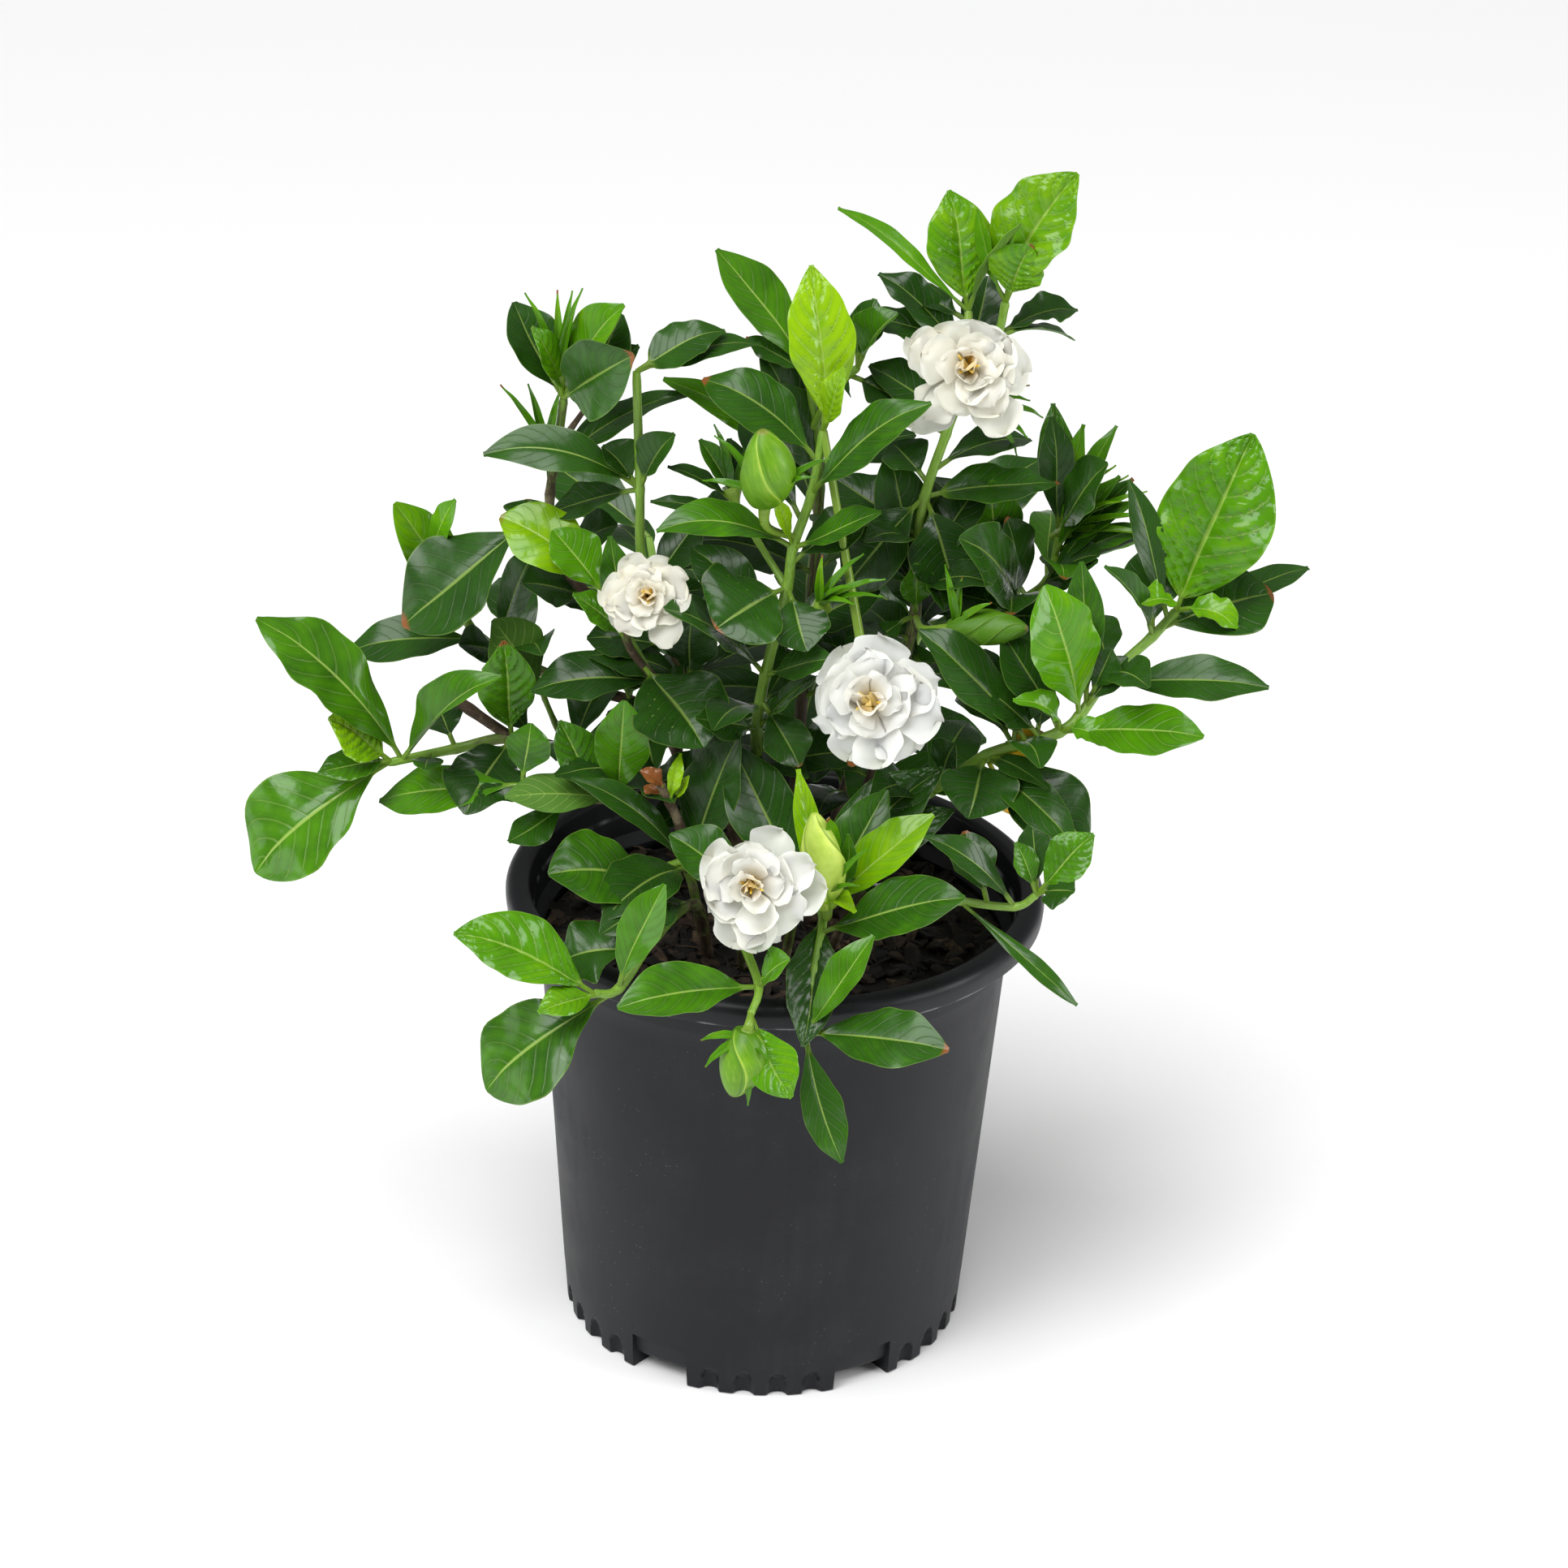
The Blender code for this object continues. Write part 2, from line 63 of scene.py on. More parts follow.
# Shoots: radius at the foot and at the end, woodiness at the foot and at the end, the stem piece that
# the shoot belongs to, and its nodes.
Shoot = namedtuple("Shoot", "start end woody_start woody_end stem nodes")
SHOOTS = {
    "centre": (3.2, 2.2, 0.5, 0.0, "centre", [
        (-4, -8, 184), (-8, -20, 255), (-10, -28, 298), (-7, -30, 325), (1, -36, 368), (3, -36, 386),
        (10, -30, 408), (14, -25, 434)]),
    "centre_side": (1.8, 1.4, 0.2, 0.0, "centre", [(1, -36, 368), (-12, -24, 384), (-22, -12, 396)]),
    "tall": (3.6, 1.9, 0.8, 0.1, "tall", [
        (20, 4, 184), (37, 0, 248), (48, -5, 300), (56, -12, 347), (55, -10, 370), (58, -9, 400),
        (66, 0, 425), (75, 9, 452), (73, 6, 477)]),
    "crown": (2.4, 2.0, 0.1, 0.0, "tall", [(75, 9, 450), (85, 3, 467), (88, 2, 483)]),
    "back": (3.6, 2.0, 0.8, 0.3, "back", [(6, 26, 184), (10, 28, 300), (14, 24, 390), (8, 14, 442)]),
    "back_tip": (2.0, 1.8, 0.3, 0.2, "back", [(10, 18, 420), (19, 10, 440), (28, 4, 452)]),
    "right": (3.2, 2.4, 0.5, 0.0, "right", [
        (37, 0, 248), (57, -20, 262), (88, -40, 295), (105, -43, 303), (118, -46, 310),
        (126, -43, 316), (138, -33, 330), (157, -20, 344), (167, -15, 354)]),
    "right_back": (2.8, 2.0, 0.4, 0.1, "right_back", [
        (48, -5, 300), (74, 16, 318), (98, 20, 338), (114, 18, 353), (118, 20, 374)]),
    "low_right": (2.6, 1.8, 0.7, 0.2, "low_right", [
        (22, -26, 184), (38, -56, 236), (60, -74, 246), (77, -84, 248), (100, -90, 249),
        (109, -92, 256)]),
    "low_centre": (2.6, 1.8, 0.6, 0.1, "low_centre", [
        (4, -34, 184), (11, -62, 236), (20, -86, 241), (17, -110, 228), (14, -128, 207)]),
    "front": (2.8, 1.8, 0.6, 0.0, "front", [
        (-12, -38, 184), (-16, -72, 234), (-12, -104, 234), (-6, -128, 228), (-9, -141, 222)]),
    "bloom_front": (2.0, 1.8, 0.3, 0.0, "front", [(-16, -72, 232), (-10, -84, 248), (-8, -96, 258)]),
    "low_left": (3.0, 2.0, 0.7, 0.1, "low_left", [
        (-28, -26, 184), (-34, -56, 228), (-50, -94, 232), (-64, -118, 220), (-74, -125, 221)]),
    "mid_left": (2.6, 1.8, 0.6, 0.1, "low_left", [
        (-31, -40, 206), (-38, -46, 240), (-46, -50, 243), (-60, -62, 238)]),
    "mid_cut": (2.6, 2.2, 1.0, 1.0, "low_left", [
        (-38, -46, 240), (-41, -52, 262), (-46, -55, 276), (-50, -56, 285)]),
    "wall_left": (2.8, 1.8, 0.9, 0.4, "wall_left", [
        (-39, 8, 250), (-48, -20, 264), (-68, -38, 269), (-88, -40, 269), (-109, -42, 276)]),
    "left": (4.2, 2.2, 1.0, 0.2, "left", [
        (-20, 4, 184), (-39, 8, 250), (-90, 8, 268), (-116, -10, 283), (-140, -16, 280),
        (-168, -28, 278)]),
    "left_cut": (2.8, 2.8, 1.0, 1.0, "left", [(-116, -10, 283), (-134, -12, 297), (-147, -15, 309)]),
    "left_back": (3.4, 2.0, 0.9, 0.1, "left_back", [
        (-26, 26, 184), (-51, 34, 270), (-94, 30, 292), (-132, 30, 312), (-144, 25, 336),
        (-154, 20, 353)]),
    "spire_left": (3.0, 2.2, 1.0, 0.4, "spire_left", [
        (-51, 34, 270), (-70, 24, 318), (-92, 10, 352), (-100, 8, 372), (-101, 10, 389),
        (-98, 8, 410), (-95, 5, 434)]),
    "spire_twig": (1.6, 1.3, 1.0, 0.8, "spire_left", [(-97, 8, 412), (-92, 7, 420), (-84, 4, 433)]),
    "spire_side": (1.8, 1.4, 0.8, 0.3, "spire_left", [(-100, 8, 374), (-112, 2, 378)]),
    "wand_left": (2.8, 2.2, 0.8, 0.0, "wand_left", [
        (-6, 12, 184), (-36, -2, 295), (-54, -4, 340), (-61, -8, 368), (-62, -10, 400),
        (-64, -10, 452)]),
    "bloom_left": (2.2, 1.8, 1.0, 0.4, "bloom_left", [
        (-36, -2, 295), (-56, -20, 320), (-66, -30, 340), (-60, -40, 357)]),
    "bloom_side": (1.5, 1.3, 0.3, 0.0, "bloom_left", [(-56, -20, 320), (-66, -24, 340), (-78, -22, 359)]),
    "left_side": (1.7, 1.4, 0.7, 0.2, "left", [(-92, 7, 268), (-98, 2, 285), (-103, -2, 300)]),
    "rear_left": (3.2, 2.0, 0.9, 0.1, "rear_left", [
        (-12, 44, 184), (-30, 66, 246), (-52, 92, 292), (-62, 112, 330)]),
    "rear_right": (3.2, 2.0, 0.9, 0.1, "rear_right", [
        (18, 42, 184), (36, 64, 246), (62, 86, 296), (74, 106, 336)]),
}
SHOOTS = {name: Shoot(*plan) for name, plan in SHOOTS.items()}

# Leaves by shoot: node, tip, width, tone and form, then the roll in degrees and the bow as a share of the
# length where they aren't 0. Tone runs from 0, old and dark, to 1, newly opened; 1.5 is yellowed, 2 dried.
# Low tones are partly painted shade on the leaves deep in the shrub, beside the old leaves' own dark green
LEAVES = {
    "centre_side": [
        (2, (-37, -10, 423), 13, 0.3, "folded"), (2, (-50, -16, 413), 9, 0.08, "folded"),
        (1.6, (-57, -20, 399), 9, 0.08, "flat"), (2, (-25, -2, 421), 15, 0.08, "flat"),
        (1.6, (-40, 0, 388), 22, 0.06, "flat")],
    "centre": [
        (4.5, (33, -30, 402), 22, 0.1, "flat"), (5.5, (-20, 8, 432), 20, 0.08, "flat"),
        (3.4, (40, -20, 362), 24, 0.06, "flat"), (3.5, (-40, -10, 375), 24, 0.06, "flat"),
        (7, (7, -10, 500), 28, 0.95, "young", 0, 0.02), (7, (21, -38, 466), 15, 0.92, "young", 0, 0.06),
        (6.5, (-36, -15, 452), 30, 0.22, "arched", 0, 0.02),
        (6, (56, -45, 455), 26, 0.32, "arched", 0, 0.03), (5, (-6, -45, 411), 9, 0.97, "young"),
        (5, (-53, -50, 398), 21, 0.4, "arched", 0, 0.05), (5, (38, -50, 409), 16, 0.42, "flat", 0, 0.05),
        (4, (-28, -60, 359), 44, 0.12, "spoon", 6), (4, (10, -60, 350), 26, 0.12, "flat"),
        (3, (-48, -70, 372), 25, 0.1, "flat", 0, 0.04), (3, (21, -60, 347), 15, 0.15, "flat", -30),
        (2.6, (9, -45, 290), 22, 0.12, "flat"), (2, (-35, -62, 319), 17, 0.16, "flat", 35),
        (2, (14, -45, 332), 17, 0.2, "flat", 20)],
    "tall": [
        (7.1, (36, 18, 489), 19, 0.12, "wavy"), (7.2, (28, 14, 473), 18, 0.1, "wavy"),
        (6.2, (33, 8, 452), 22, 0.08, "flat"), (7.8, (48, 25, 479), 15, 0.1, "wavy"),
        (6, (36, 8, 436), 22, 0.08, "flat"), (5.4, (103, 15, 419), 20, 0.1, "arched", 10),
        (5.2, (44, 10, 417), 22, 0.07, "flat"), (4.4, (20, 6, 402), 28, 0.06, "flat"),
        (3.4, (43, 8, 414), 24, 0.06, "flat"), (3.7, (84, 4, 405), 22, 0.1, "arched", 0, 0.04),
        (3.5, (92, -8, 352), 24, 0.08, "flat"), (8, (63, 15, 526), 29, 0.76, "young"),
        (8, (18, -10, 525), 10, 0.6, "flat"), (8, (91, -10, 521), 11, 0.82, "flat", 72),
        (7, (82, 34, 484), 19, 0.08, "flat"), (5, (115, 5, 404), 25, 0.2, "lance", 8, 0.08),
        (5, (25, -16, 360), 34, 0.06, "flat"), (5, (72, -20, 364), 32, 0.06, "flat"),
        (4, (68, -26, 356), 14, 0.3, "arched", 30), (3, (55, -25, 376), 16, 0.44, "flat"),
        (3, (32, -32, 338), 14, 0.25, "flat")],
    "crown": [
        (2, (74, 5, 521), 10, 0.6, "flat", 78), (2, (114, 0, 539), 36, 0.74, "broad", 0, -0.05),
        (2, (97, -6, 510), 24, 0.66, "young", -40, -0.03),
        (1, (119, 15, 477), 22, 0.2, "wavy", 20, -0.06),
        (1, (118, 5, 467), 15, 0.3, "arched", 35, -0.04)],
    "back": [
        (3, (-32, 25, 495), 25, 0.44, "flat", 0, 0.02), (2, (-12, 12, 456), 27, 0.1, "flat"),
        (2, (-5, 6, 443), 28, 0.07, "flat"), (3, (-19, 15, 460), 13, 0.18, "wavy"),
        (2, (-52, 5, 445), 16, 0.52, "obovate")],
    "back_tip": [
        (2, (43, -2, 478), 22, 0.44, "folded", 10), (2, (34, 10, 480), 16, 0.34, "wavy"),
        (2, (26, 8, 473), 14, 0.26, "wavy"), (1.6, (43, 0, 441), 20, 0.08, "flat"),
        (1.2, (24, 8, 446), 24, 0.08, "flat")],
    "right": [
        (5.3, (124, -30, 381), 18, 0.3, "flat"), (5.2, (145, -38, 342), 16, 0.12, "flat"),
        (2.6, (102, -36, 333), 20, 0.1, "flat"), (3.2, (113, -38, 328), 14, 0.12, "flat"),
        (5.5, (138, -40, 346), 17, 0.14, "cupped"), (7, (134, -34, 381), 14, 0.26, "folded"),
        (4, (92, -40, 352), 24, 0.06, "flat"), (3.4, (84, -50, 332), 22, 0.06, "flat"),
        (1.4, (74, -40, 300), 22, 0.06, "flat"), (8, (194, -5, 431), 50, 0.62, "broad"),
        (8, (191, -30, 354), 16, 0.72, "curled"), (8, (151, -28, 363), 15, 0.7, "curled"),
        (7.2, (208, -8, 361), 40, 0.14, "spoon"), (8, (228, 26, 360), 14, 0.15, "flat", 0, 0.04),
        (7, (156, 4, 377), 26, 0.08, "flat"), (5.9, (203, -55, 338), 24, 0.18, "flat"),
        (7.6, (144, -5, 409), 14, 0.12, "flat"), (5, (108, -50, 378), 34, 0.68, "spoon"),
        (4, (174, -80, 326), 28, 0.56, "flat"), (4, (98, -58, 330), 15, 0.66, "curled"),
        (4, (138, -60, 312), 15, 0.66, "curled"), (3, (57, -60, 361), 29, 0.14, "flat"),
        (2, (80, -70, 280), 35, 0.12, "cupped"), (2, (113, -66, 293), 13, 0.12, "lance"),
        (2, (131, -66, 268), 36, 0.1, "spoon"), (1.8, (125, -85, 275), 21, 0.17, "arched"),
        (1.9, (117, -46, 305), 17, 1.5, "flat"), (2, (101, -45, 270), 14, 1.5, "flat")],
    "right_back": [
        (4, (113, 34, 428), 17, 0.44, "young"), (4, (126, 28, 421), 10, 0.6, "young"),
        (4, (139, 22, 423), 9, 0.46, "wavy"), (3.6, (149, 10, 394), 10, 0.5, "flat"),
        (3.4, (154, 8, 383), 13, 0.34, "flat"), (2.6, (133, 0, 370), 22, 0.14, "flat"),
        (3.5, (141, 12, 404), 12, 0.48, "folded"), (2.4, (62, 10, 402), 24, 0.06, "flat"),
        (3.2, (134, 2, 372), 18, 0.12, "flat"), (2.2, (73, -40, 394), 34, 0.2, "spoon", 50),
        (2.2, (94, 0, 388), 26, 0.1, "flat"), (3, (156, 5, 380), 14, 0.56, "flat", 30),
        (3, (147, 15, 402), 14, 0.2, "flat"), (2, (86, -10, 408), 27, 0.4, "pale", 30),
        (4, (112, 25, 425), 16, 0.12, "flat"), (4, (134, 0, 414), 30, 0.26, "flat"),
        (4, (120, 30, 414), 13, 0.4, "young")],
    "low_right": [
        (3.5, (79, -70, 274), 20, 0.06, "flat"), (5, (106, -80, 284), 15, 0.12, "flat"),
        (4, (62, -94, 283), 15, 0.12, "arched"), (3, (127, -116, 218), 8.5, 0.28, "obovate", 0, 0.04),
        (5, (99, -90, 279), 12, 0.45, "young"), (5, (131, -90, 284), 21, 0.52, "young"),
        (5, (123, -105, 265), 22, 0.14, "wavy")],
    "low_centre": [
        (1, (54, -42, 281), 22, 0.1, "flat"), (2.4, (77, -115, 266), 31, 0.34, "flat"),
        (2, (64, -86, 289), 22, 0.8, "flat"), (2, (45, -70, 292), 23, 0.35, "flat"),
        (2, (32, -110, 256), 12, 0.95, "curled"), (1, (69, -50, 294), 33, 0.16, "young"),
        (1.2, (74, -60, 279), 26, 0.14, "young"), (2, (13, -137, 206), 23, 0.1, "young"),
        (4, (40, -125, 252), 18, 0.52, "cupped", 10, 0.05), (4, (72, -150, 214), 29, 0.22, "flat"),
        (4, (31, -148, 157), 18, 0.3, "flat", 0, 0.05), (1, (-20, -40, 297), 31, 0.12, "flat"),
        (2, (8, -76, 303), 12, 0.92, "young"), (2.1, (21, -104, 294), 10, 0.6, "pale", -50, 0.12),
        (2, (29, -98, 284), 8, 0.48, "pale", -30, 0.1)],
    "front": [
        (3, (6, -140, 248), 18, 0.6, "cupped"), (3, (-63, -150, 229), 27, 0.4, "cupped"),
        (4, (9, -157, 193), 22, 0.62, "young", 0, 0.06)],
    "bloom_front": [
        (1, (-45, -75, 271), 26, 0.22, "flat")],
    "low_left": [
        (1.2, (-72, -106, 240), 28, 0.08, "arched"), (3, (-46, -116, 268), 20, 0.5, "cupped"),
        (2.3, (-90, -100, 222), 32, 0.26, "wavy", 0, 0.06),
        (4, (-132, -120, 245), 31, 0.64, "young", 0, 0.04), (3.6, (-96, -140, 220), 16, 0.7, "young"),
        (3.2, (-119, -130, 177), 46, 0.4, "obovate")],
    "mid_left": [
        (1, (-18, -50, 306), 28, 0.12, "flat"), (1, (-87, -54, 286), 15, 0.1, "arched", 0, 0.02),
        (2.5, (-94, -97, 262), 36, 0.36, "spoon", 15), (1, (-71, -100, 244), 30, 0.1, "arched")],
    "mid_cut": [
        (1.8, (-42, -54, 298), 7, 0.95, "curled"), (1.8, (-38, -58, 290), 6, 0.95, "young"),
        (2.4, (-58, -56, 291), 8, 2, "curled"), (2.2, (-57, -50, 281), 7, 2, "wavy")],
    "wall_left": [
        (3, (-114, -60, 258), 17, 0.24, "pale"), (4, (-173, -25, 259), 27, 0.5, "flat"),
        (2, (-116, -56, 276), 22, 0.5, "pale", 180), (0.4, (-94, -50, 286), 27, 0.08, "arched"),
        (2, (-66, -50, 320), 24, 0.5, "spoon"), (2.5, (-94, -34, 303), 20, 0.38, "young"),
        (4, (-106, -40, 304), 20, 0.42, "flat"), (1, (-20, -45, 304), 21, 0.2, "flat")],
    "left": [
        (4.9, (-196, -44, 280), 18, 0.42, "young"), (2.6, (-128, -10, 316), 22, 0.08, "flat"),
        (3, (-119, -18, 332), 25, 0.46, "young"), (3, (-133, -50, 266), 36, 0.05, "wavy"),
        (4, (-149, -10, 299), 18, 0.12, "flat"), (4.8, (-119, -45, 328), 25, 0.46, "folded"),
        (4.4, (-151, -40, 281), 14, 0.3, "flat"), (4.8, (-221, -30, 345), 33, 0.5, "wavy", 0, 0.03),
        (4.95, (-192, -36, 302), 30, 0.82, "young"), (5, (-225, -46, 233), 52, 0.54, "obovate")],
    "left_back": [
        (2.6, (-140, 10, 318), 24, 0.08, "flat"), (2.8, (-106, 16, 364), 20, 0.18, "flat"),
        (3, (-191, 20, 309), 25, 0.15, "arched", 0, -0.03), (3.6, (-168, 20, 379), 26, 0.74, "spoon"),
        (5, (-142, 10, 385), 14, 0.62, "flat")],
    "bloom_left": [
        (0.7, (-107, -20, 311), 27, 0.08, "arched"), (2, (-88, -40, 364), 17, 0.5, "young"),
        (2, (-73, -35, 388), 15, 0.35, "flat"), (1.2, (-32, -60, 305), 44, 0.08, "spoon")],
    "left_side": [
        (2, (-125, -4, 336), 30, 0.6, "pale", 180)],
    "bloom_side": [
        (1.8, (-98, -16, 383), 23, 0.62, "spoon"), (2, (-121, -8, 385), 29, 0.8, "spoon", 15, 0.06)],
    "spire_twig": [
        (2, (-71, 4, 472), 27, 0.14, "spoon"), (1.8, (-64, 0, 460), 18, 0.1, "flat")],
    "spire_side": [
        (1, (-164, -5, 333), 46, 0.1, "flat", 0, -0.04), (0.8, (-110, 6, 388), 20, 0.12, "flat")],
    "spire_left": [
        (2.4, (-72, 0, 380), 22, 0.1, "flat"), (1.6, (-112, 0, 352), 26, 0.08, "flat"),
        (4.6, (-40, 5, 439), 20, 0.2, "lance", 10), (6, (-116, 10, 474), 25, 0.14, "cupped", 0, -0.06),
        (6, (-107, -10, 470), 16, 0.62, "young"), (6, (-70, -8, 480), 23, 0.68, "cupped"),
        (6, (-65, -30, 466), 34, 0.22, "cupped", -60)],
    "wand_left": [
        (2.4, (-36, 0, 384), 20, 0.08, "flat"), (1.6, (-84, -6, 330), 24, 0.06, "flat"),
        (1.2, (-39, -8, 341), 24, 0.07, "flat"), (5, (-28, 0, 468), 24, 0.24, "lance"),
        (5, (-13, 5, 461), 17, 0.22, "lance"), (4, (-127, -15, 416), 21, 0.24, "arched", 15, 0.08),
        (4, (-78, -8, 418), 20, 0.16, "folded"), (4, (-48, -15, 427), 20, 0.16, "folded"),
        (4, (-101, 0, 384), 20, 0.1, "flat")],
    "rear_left": [
        (3, (-110, 148, 352), 30, 0.12, "flat"), (2, (-14, 158, 282), 30, 0.25, "flat")],
    "rear_right": [
        (3, (118, 146, 362), 30, 0.1, "flat")],
}

# Opposite pairs that fill the shrub: node, azimuth and rise in degrees, length, width, tone, kept low for
# old leaves and as painted shade deep in the shrub
PAIRS = {
    "rear_left": [
        (2.6, 120, 15, 50, 24, 0.08), (2.1, 20, 15, 60, 27, 0.08),
        (1.6, 110, 10, 62, 28, 0.12), (1.1, 15, 10, 60, 27, 0.08), (0.7, 100, 15, 52, 24, 0.06)],
    "rear_right": [
        (2.6, 60, 15, 50, 24, 0.08), (2.1, 160, 15, 60, 27, 0.08),
        (1.6, 70, 10, 62, 28, 0.12), (1.1, 165, 10, 60, 27, 0.08), (0.7, 80, 15, 52, 24, 0.06)],
    "back": [
        (0.6, 90, 15, 60, 27, 0.1), (0.9, 10, 10, 62, 28, 0.08), (1.2, 95, 20, 60, 28, 0.1),
        (1.5, 15, 20, 58, 26, 0.08), (1.8, 100, 20, 52, 23, 0.08), (2.1, 20, 15, 44, 20, 0.08)],
    "tall": [
        (0.8, 70, 10, 54, 25, 0.08), (1.3, 160, 5, 52, 25, 0.08), (1.7, 75, 10, 54, 25, 0.08),
        (2.2, 150, 15, 52, 24, 0.06), (2.7, 60, 15, 48, 22, 0.06), (3.4, 130, 15, 46, 21, 0.06),
        (4.3, 50, 25, 42, 19, 0.06)],
    "centre": [(0.8, 100, 5, 52, 24, 0.08), (1.4, 10, 5, 52, 23, 0.08), (2.4, 60, 15, 46, 21, 0.08)],
    "left": [(1.3, 95, 25, 50, 23, 0.1), (2.0, 80, 30, 52, 23, 0.12)],
    "left_back": [(0.7, 100, 20, 54, 25, 0.08), (1.4, 70, 25, 60, 26, 0.16), (2.4, 100, 30, 54, 23, 0.2)],
    "wand_left": [
        (0.5, 60, 15, 54, 24, 0.08), (0.8, 150, 5, 54, 24, 0.06), (1.2, 20, 15, 50, 23, 0.06),
        (1.8, 100, 20, 44, 20, 0.06), (2.5, 60, 10, 34, 15, 0.08)],
    "right_back": [
        (0.6, 140, 15, 50, 23, 0.06), (1.0, 80, 30, 54, 24, 0.1), (1.5, 150, 20, 50, 22, 0.08),
        (2.0, 95, 25, 56, 24, 0.16), (3.0, 90, 20, 50, 20, 0.3)],
    "right": [(1.2, 70, 15, 50, 23, 0.08), (2.6, 110, 15, 46, 21, 0.1), (6.0, 100, 20, 44, 19, 0.2)],
    "low_right": [(1.2, 100, 15, 42, 20, 0.1)],
    "wall_left": [(1.2, 100, 25, 40, 18, 0.1)],
    "spire_left": [(0.6, 100, 20, 48, 22, 0.08), (1.2, 10, 20, 46, 21, 0.08)],
}

# Leaf forms: arch, fold in degrees, cup, wave, quilting in millimetres, widest place (further out as it
# grows), pointedness (full and round as it shrinks), tip curl
LEAF_FORMS = {
    "young": (0.05, 9, 0.05, 0.06, 1.95, 1.02, 0.72, 0.03),
    "broad": (0.05, 7, 0.05, 0.10, 2.30, 0.92, 0.66, 0.02),
    "spoon": (0.06, 8, 0.04, 0.07, 0.60, 1.22, 0.62, 0.03),
    "flat": (0.04, 7, 0.04, 0.07, 0.26, 1.18, 0.70, 0.04),
    "arched": (0.12, 8, 0.03, 0.07, 0.26, 1.20, 0.72, 0.05),
    "cupped": (0.07, 20, 0.10, 0.07, 0.34, 1.20, 0.67, 0.03),
    "folded": (0.08, 38, 0.08, 0.08, 0.26, 1.12, 0.74, 0.05),
    "wavy": (0.07, 9, 0.03, 0.17, 0.40, 1.22, 0.70, 0.06),
    "obovate": (0.08, 6, -0.03, 0.09, 0.40, 1.60, 0.60, 0.05),
    "curled": (0.20, 24, 0.10, 0.20, 0.30, 1.15, 0.74, 0.12),
    "lance": (0.10, 8, 0.03, 0.08, 0.26, 0.66, 0.80, 0.05),
    "pale": (-0.05, -8, 0.03, 0.05, 0.20, 1.16, 0.72, 0.03),
    "lobe": (0.06, 38, 0.0, 0.02, 0.0, 0.62, 0.70, 0.10),
}

# Bare calyces of spent blooms: foot, tone of the green, and the tips of the lobes
BARE_CALYCES = [
    ((-22, -12, 398), 0.50, [(-31, -8, 429), (-14, -4, 424), (-33, -6, 417)]),
    ((-96, 5, 440), 0.62, [(-110, 0, 481), (-98, 8, 480), (-92, 4, 481), (-88, -2, 484)]),
    ((-101, 8, 404), 0.55, [(-120, 0, 441), (-110, 10, 438), (-97, 4, 438)]),
    ((13, -42, 361), 0.66, [(40, -58, 383), (39, -64, 378), (28, -68, 376), (31, -50, 390),
                            (15, -50, 388), (27, -60, 380)]),
    ((118, 20, 374), 0.72, [(152, 8, 400), (154, 2, 391), (155, 2, 381), (144, 12, 405),
                           (140, -2, 399), (137, 4, 412)]),
    ((76, 2, 438), 0.50, [(99, -5, 450), (99, -12, 446), (107, 4, 433), (100, -8, 428),
                          (98, 6, 414)]),
]

# Double blooms: shoot, centre, facing direction, diameter, warmth of the white, and how much further the
# petals reach to the right and upwards, as shares
BLOOMS = {
    "top": ("tall", (72, -28, 464), (0.0, -0.9, 0.45), 55, 0.45, (-0.16, -0.26)),
    "centre": ("centre", (36, -85, 339), (-0.05, -0.9, 0.4), 59, 0.1, (0.14, 0.02)),
    "left": ("bloom_left", (-56, -58, 371), (-0.1, -0.85, 0.5), 41, 0.6, (0.0, -0.06)),
    "front": ("bloom_front", (-10, -122, 272), (-0.05, -0.9, 0.4), 54, 0.2, (0.14, -0.02)),
}

# Whorls of petals: how many, then shares of the bloom's radius for reach, width, height, reflex of the
# rim and cup across the petal
WHORLS = [
    (6, 1.00, 0.84, 0.02, 0.16, 0.05),
    (6, 0.85, 0.78, 0.13, 0.10, 0.08),
    (5, 0.64, 0.66, 0.23, 0.05, 0.12),
    (4, 0.42, 0.50, 0.31, 0.02, 0.22),
    (3, 0.22, 0.32, 0.36, 0.00, 0.45),
    (2, 0.10, 0.20, 0.38, -0.02, 0.60),
]

# Buds: the shoot and node that the stalk leaves, foot, tip, widest diameter, folds, their turns, paleness,
# calyx-lobe tips
BUDS = {
    "centre": (("centre", 5.2), (-9, -46, 410), (-11, -52, 443), 22.5, 3, 0.34, 0.24,
               [(-30, -42, 437), (16, -48, 431), (10, -56, 426), (-35, -40, 417)]),
    "pale": (("low_centre", 2.0), (21, -95, 250), (15, -97, 293), 18, 3, 0.30, 0.75,
             [(36, -102, 280), (33, -114, 270), (9, -108, 272)]),
    "hanging": (("front", 4.0), (-10, -147, 218), (-15, -152, 190), 19, 3, 0.34, 0.24,
                [(-29, -150, 215), (-27, -156, 206), (-9, -158, 189), (-1, -158, 211)]),
    "right": (("tall", 3.0), (70, -33, 350), (102, -44, 356), 15, 5, 0.45, -0.25,
              [(74, -34, 374), (67, -36, 380), (86, -40, 366)]),
}

